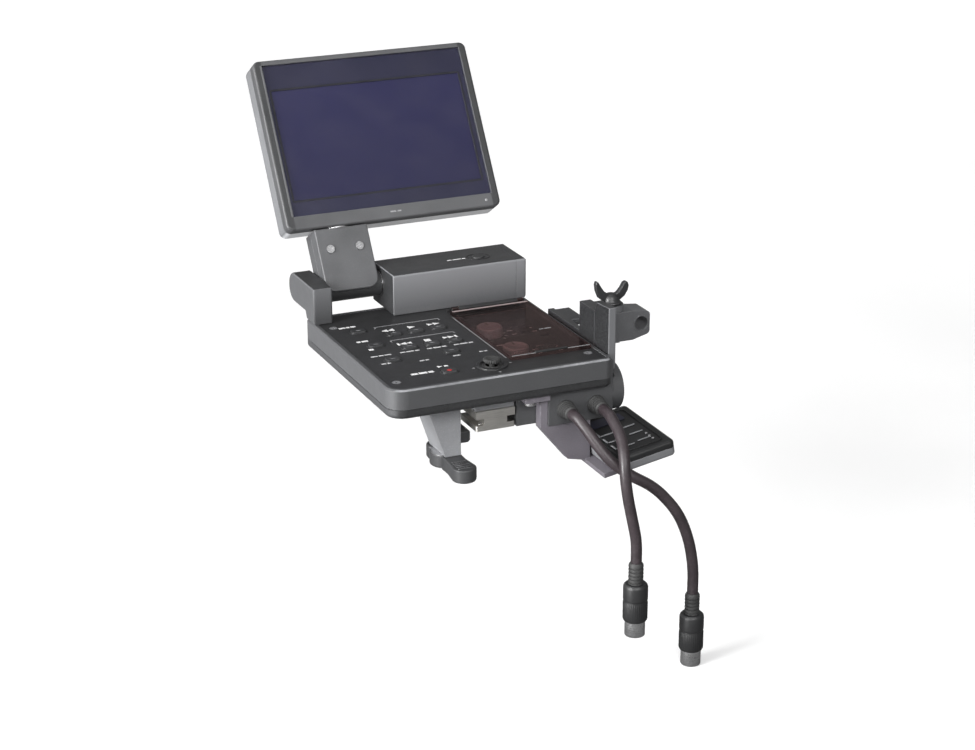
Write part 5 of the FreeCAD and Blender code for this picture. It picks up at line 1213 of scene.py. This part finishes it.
def hidden_parts():
    """The dome sheet under the keys, with a dome for each key that sits over it."""
    top = (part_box("keypad_mat")[1].z - DECK.z) / MM
    outline = [rounded(53.0, 54.0, 2.0, 36.0, 57.0)]
    sheet = slabs("dome_sheet", outline, top - 0.9, top, on_deck(), "rubber", *SOFT, bevel=0.1)
    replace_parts(sheet, "keypad_mat")
    dome = [(0, -1.2), (1.0, -1.2), (1.5, -0.9), (2.4, -0.2), (2.4, 0.4), (0, 0.4)]
    for name in BUTTONS:
        low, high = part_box("button_" + name)
        middle = ((low + high) / 2 - DECK) / MM
        if middle.y > 30:
            lathe(
                "dome_" + name, dome, on_deck(middle.x, middle.y, top - 0.9), "rubber", *SOFT, 32, smooth=50,
            )


deck_print()
key_print()
joystick()
audio_controls()
parting_bead()
cover_details()
hinge_details()
screen_details()
socket_details()
lever()
foot_details()
receiver_details()
wing()
mic_arm_details()
cables()
hidden_parts()


# Stage, light and camera

# Strength of the room's light from all round, from the left and from the operator's side
ROOM_GLOW, LEFT_GLOW, NEAR_GLOW = 0.26, 1.4, 0.45

# Light that the floor adds towards the camera only, near the object and far from it, to stay near white
FLOOR_GLOW = (0.22, 0.62)

# Centre of the view and enlargement, in the fitted camera's own 975 by 750 picture
CROP = (432.0, 305.0)
CLOSER = 2.05


def floor_and_backdrop():
    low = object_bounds()[0].z - 0.4 * MM
    mesh = bmesh.new()
    bmesh.ops.create_grid(mesh, x_segments=1, y_segments=1, size=6.0)
    data = bpy.data.meshes.new("floor")
    mesh.to_mesh(data)
    mesh.free()
    floor = bpy.data.objects.new("floor", data)
    floor.location.z = low
    bpy.context.scene.collection.objects.link(floor)
    n = Nodes("floor_paper")
    pale = n.mix(n.ramp(n.noise(6.0), 0, 1), (0.84, 0.84, 0.84, 1), (0.88, 0.88, 0.88, 1))
    seen = n.add("ShaderNodeLightPath").outputs["Is Camera Ray"]
    base = n.mix(seen, (0.14, 0.14, 0.14, 1), pale)
    shader = n.shade(Base_Color=base, Roughness=0.8, Normal=n.bump(n.noise(900.0), 0.05, 0.2))
    n.feed(shader, "Emission Color", pale)
    flat = n.add("ShaderNodeMapping", Vector=n.where)
    flat.inputs["Scale"].default_value = (1.0, 1.0, 0.0)
    away = n.add("ShaderNodeVectorMath")
    away.operation = "LENGTH"
    n.feed(away, "i0", flat.outputs[0])
    glow = n.ramp(away.outputs["Value"], *FLOOR_GLOW, 0.3, 1.6)
    n.feed(shader, "Emission Strength", n.times(seen, glow))
    data.materials.append(n.owner)
    floor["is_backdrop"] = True


def world_light():
    """A room that is bright on the left and near sides, dark behind the object, and white to the camera."""
    n = Nodes("studio", world=True)
    bpy.context.scene.world = n.owner
    left = n.maths("MAXIMUM", n.times(n.along("X"), -1.0), 0.0)
    near = n.maths("MAXIMUM", n.times(n.along("Y"), -1.0), 0.0)
    glow = n.maths("ADD", n.times(left, LEFT_GLOW), n.times(near, NEAR_GLOW))
    lit = n.add("ShaderNodeBackground", Strength=n.maths("ADD", glow, ROOM_GLOW)).outputs[0]
    seen = n.add("ShaderNodeBackground", Color=(0.97, 0.97, 0.97, 1)).outputs[0]
    to_camera = n.add("ShaderNodeLightPath").outputs["Is Camera Ray"]
    mixed = n.add("ShaderNodeMixShader", i0=to_camera, i1=lit, i2=seen)
    n.feed(n.out, "Surface", mixed.outputs[0])


def area(name, place, target, size, power, colour=(1, 1, 1)):
    light = bpy.data.lights.new(name, "AREA")
    light.shape = "RECTANGLE"
    light.size, light.size_y = size
    light.energy = power
    light.color = colour
    lamp = bpy.data.objects.new(name, light)
    lamp.location = place
    lamp.rotation_mode = "QUATERNION"
    lamp.rotation_quaternion = (Vector(target) - Vector(place)).to_track_quat("-Z", "Y")
    bpy.context.scene.collection.objects.link(lamp)


def studio():
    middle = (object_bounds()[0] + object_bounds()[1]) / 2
    world_light()
    area("left_light", middle + Vector((-1.2, -0.35, 0.30)), middle, (0.5, 0.9), 30.0)
    area("near_light", middle + Vector((-0.2, -1.2, 0.75)), middle, (0.9, 0.35), 10.0)
    area("top_light", middle + Vector((0.1, 0.3, 1.4)), middle, (0.8, 0.8), 2.0)


def camera():
    """The photograph's viewpoint: fitted position and direction, with the frame closed in on the object."""
    turn, down, roll = math.radians(-27.02), math.radians(23.82), math.radians(1.016)
    forward = Vector((-math.sin(turn) * math.cos(down), math.cos(turn) * math.cos(down), -math.sin(down)))
    right = Vector((math.cos(turn), math.sin(turn), 0))
    up = right.cross(forward)
    tilted_right = math.cos(roll) * right + math.sin(roll) * up
    tilted_up = -math.sin(roll) * right + math.cos(roll) * up
    data = bpy.data.cameras.new("camera")
    view = bpy.data.objects.new("camera", data)
    place = DECK + Vector((-344.6, -873.35, 356.31)) * MM
    focal, width, height = 1152.95, 975.0, 750.0
    across, rise = (CROP[0] - width / 2) / focal, (height / 2 - CROP[1]) / focal
    aim = (forward + tilted_right * across + tilted_up * rise).normalized()
    view_right = (tilted_right - aim * tilted_right.dot(aim)).normalized()
    axes = Matrix((view_right, view_right.cross(aim), -aim)).transposed().to_4x4()
    view.matrix_world = Matrix.Translation(place) @ axes
    data.sensor_width = 36.0
    data.lens = 36.0 * focal / width * CLOSER * math.hypot(1, across, rise)
    data.clip_start, data.clip_end = 0.05, 30.0
    bpy.context.scene.collection.objects.link(view)
    bpy.context.scene.camera = view


floor_and_backdrop()
studio()
camera()
bpy.context.scene.view_settings.view_transform = "Standard"
bpy.context.scene.view_settings.look = "None"
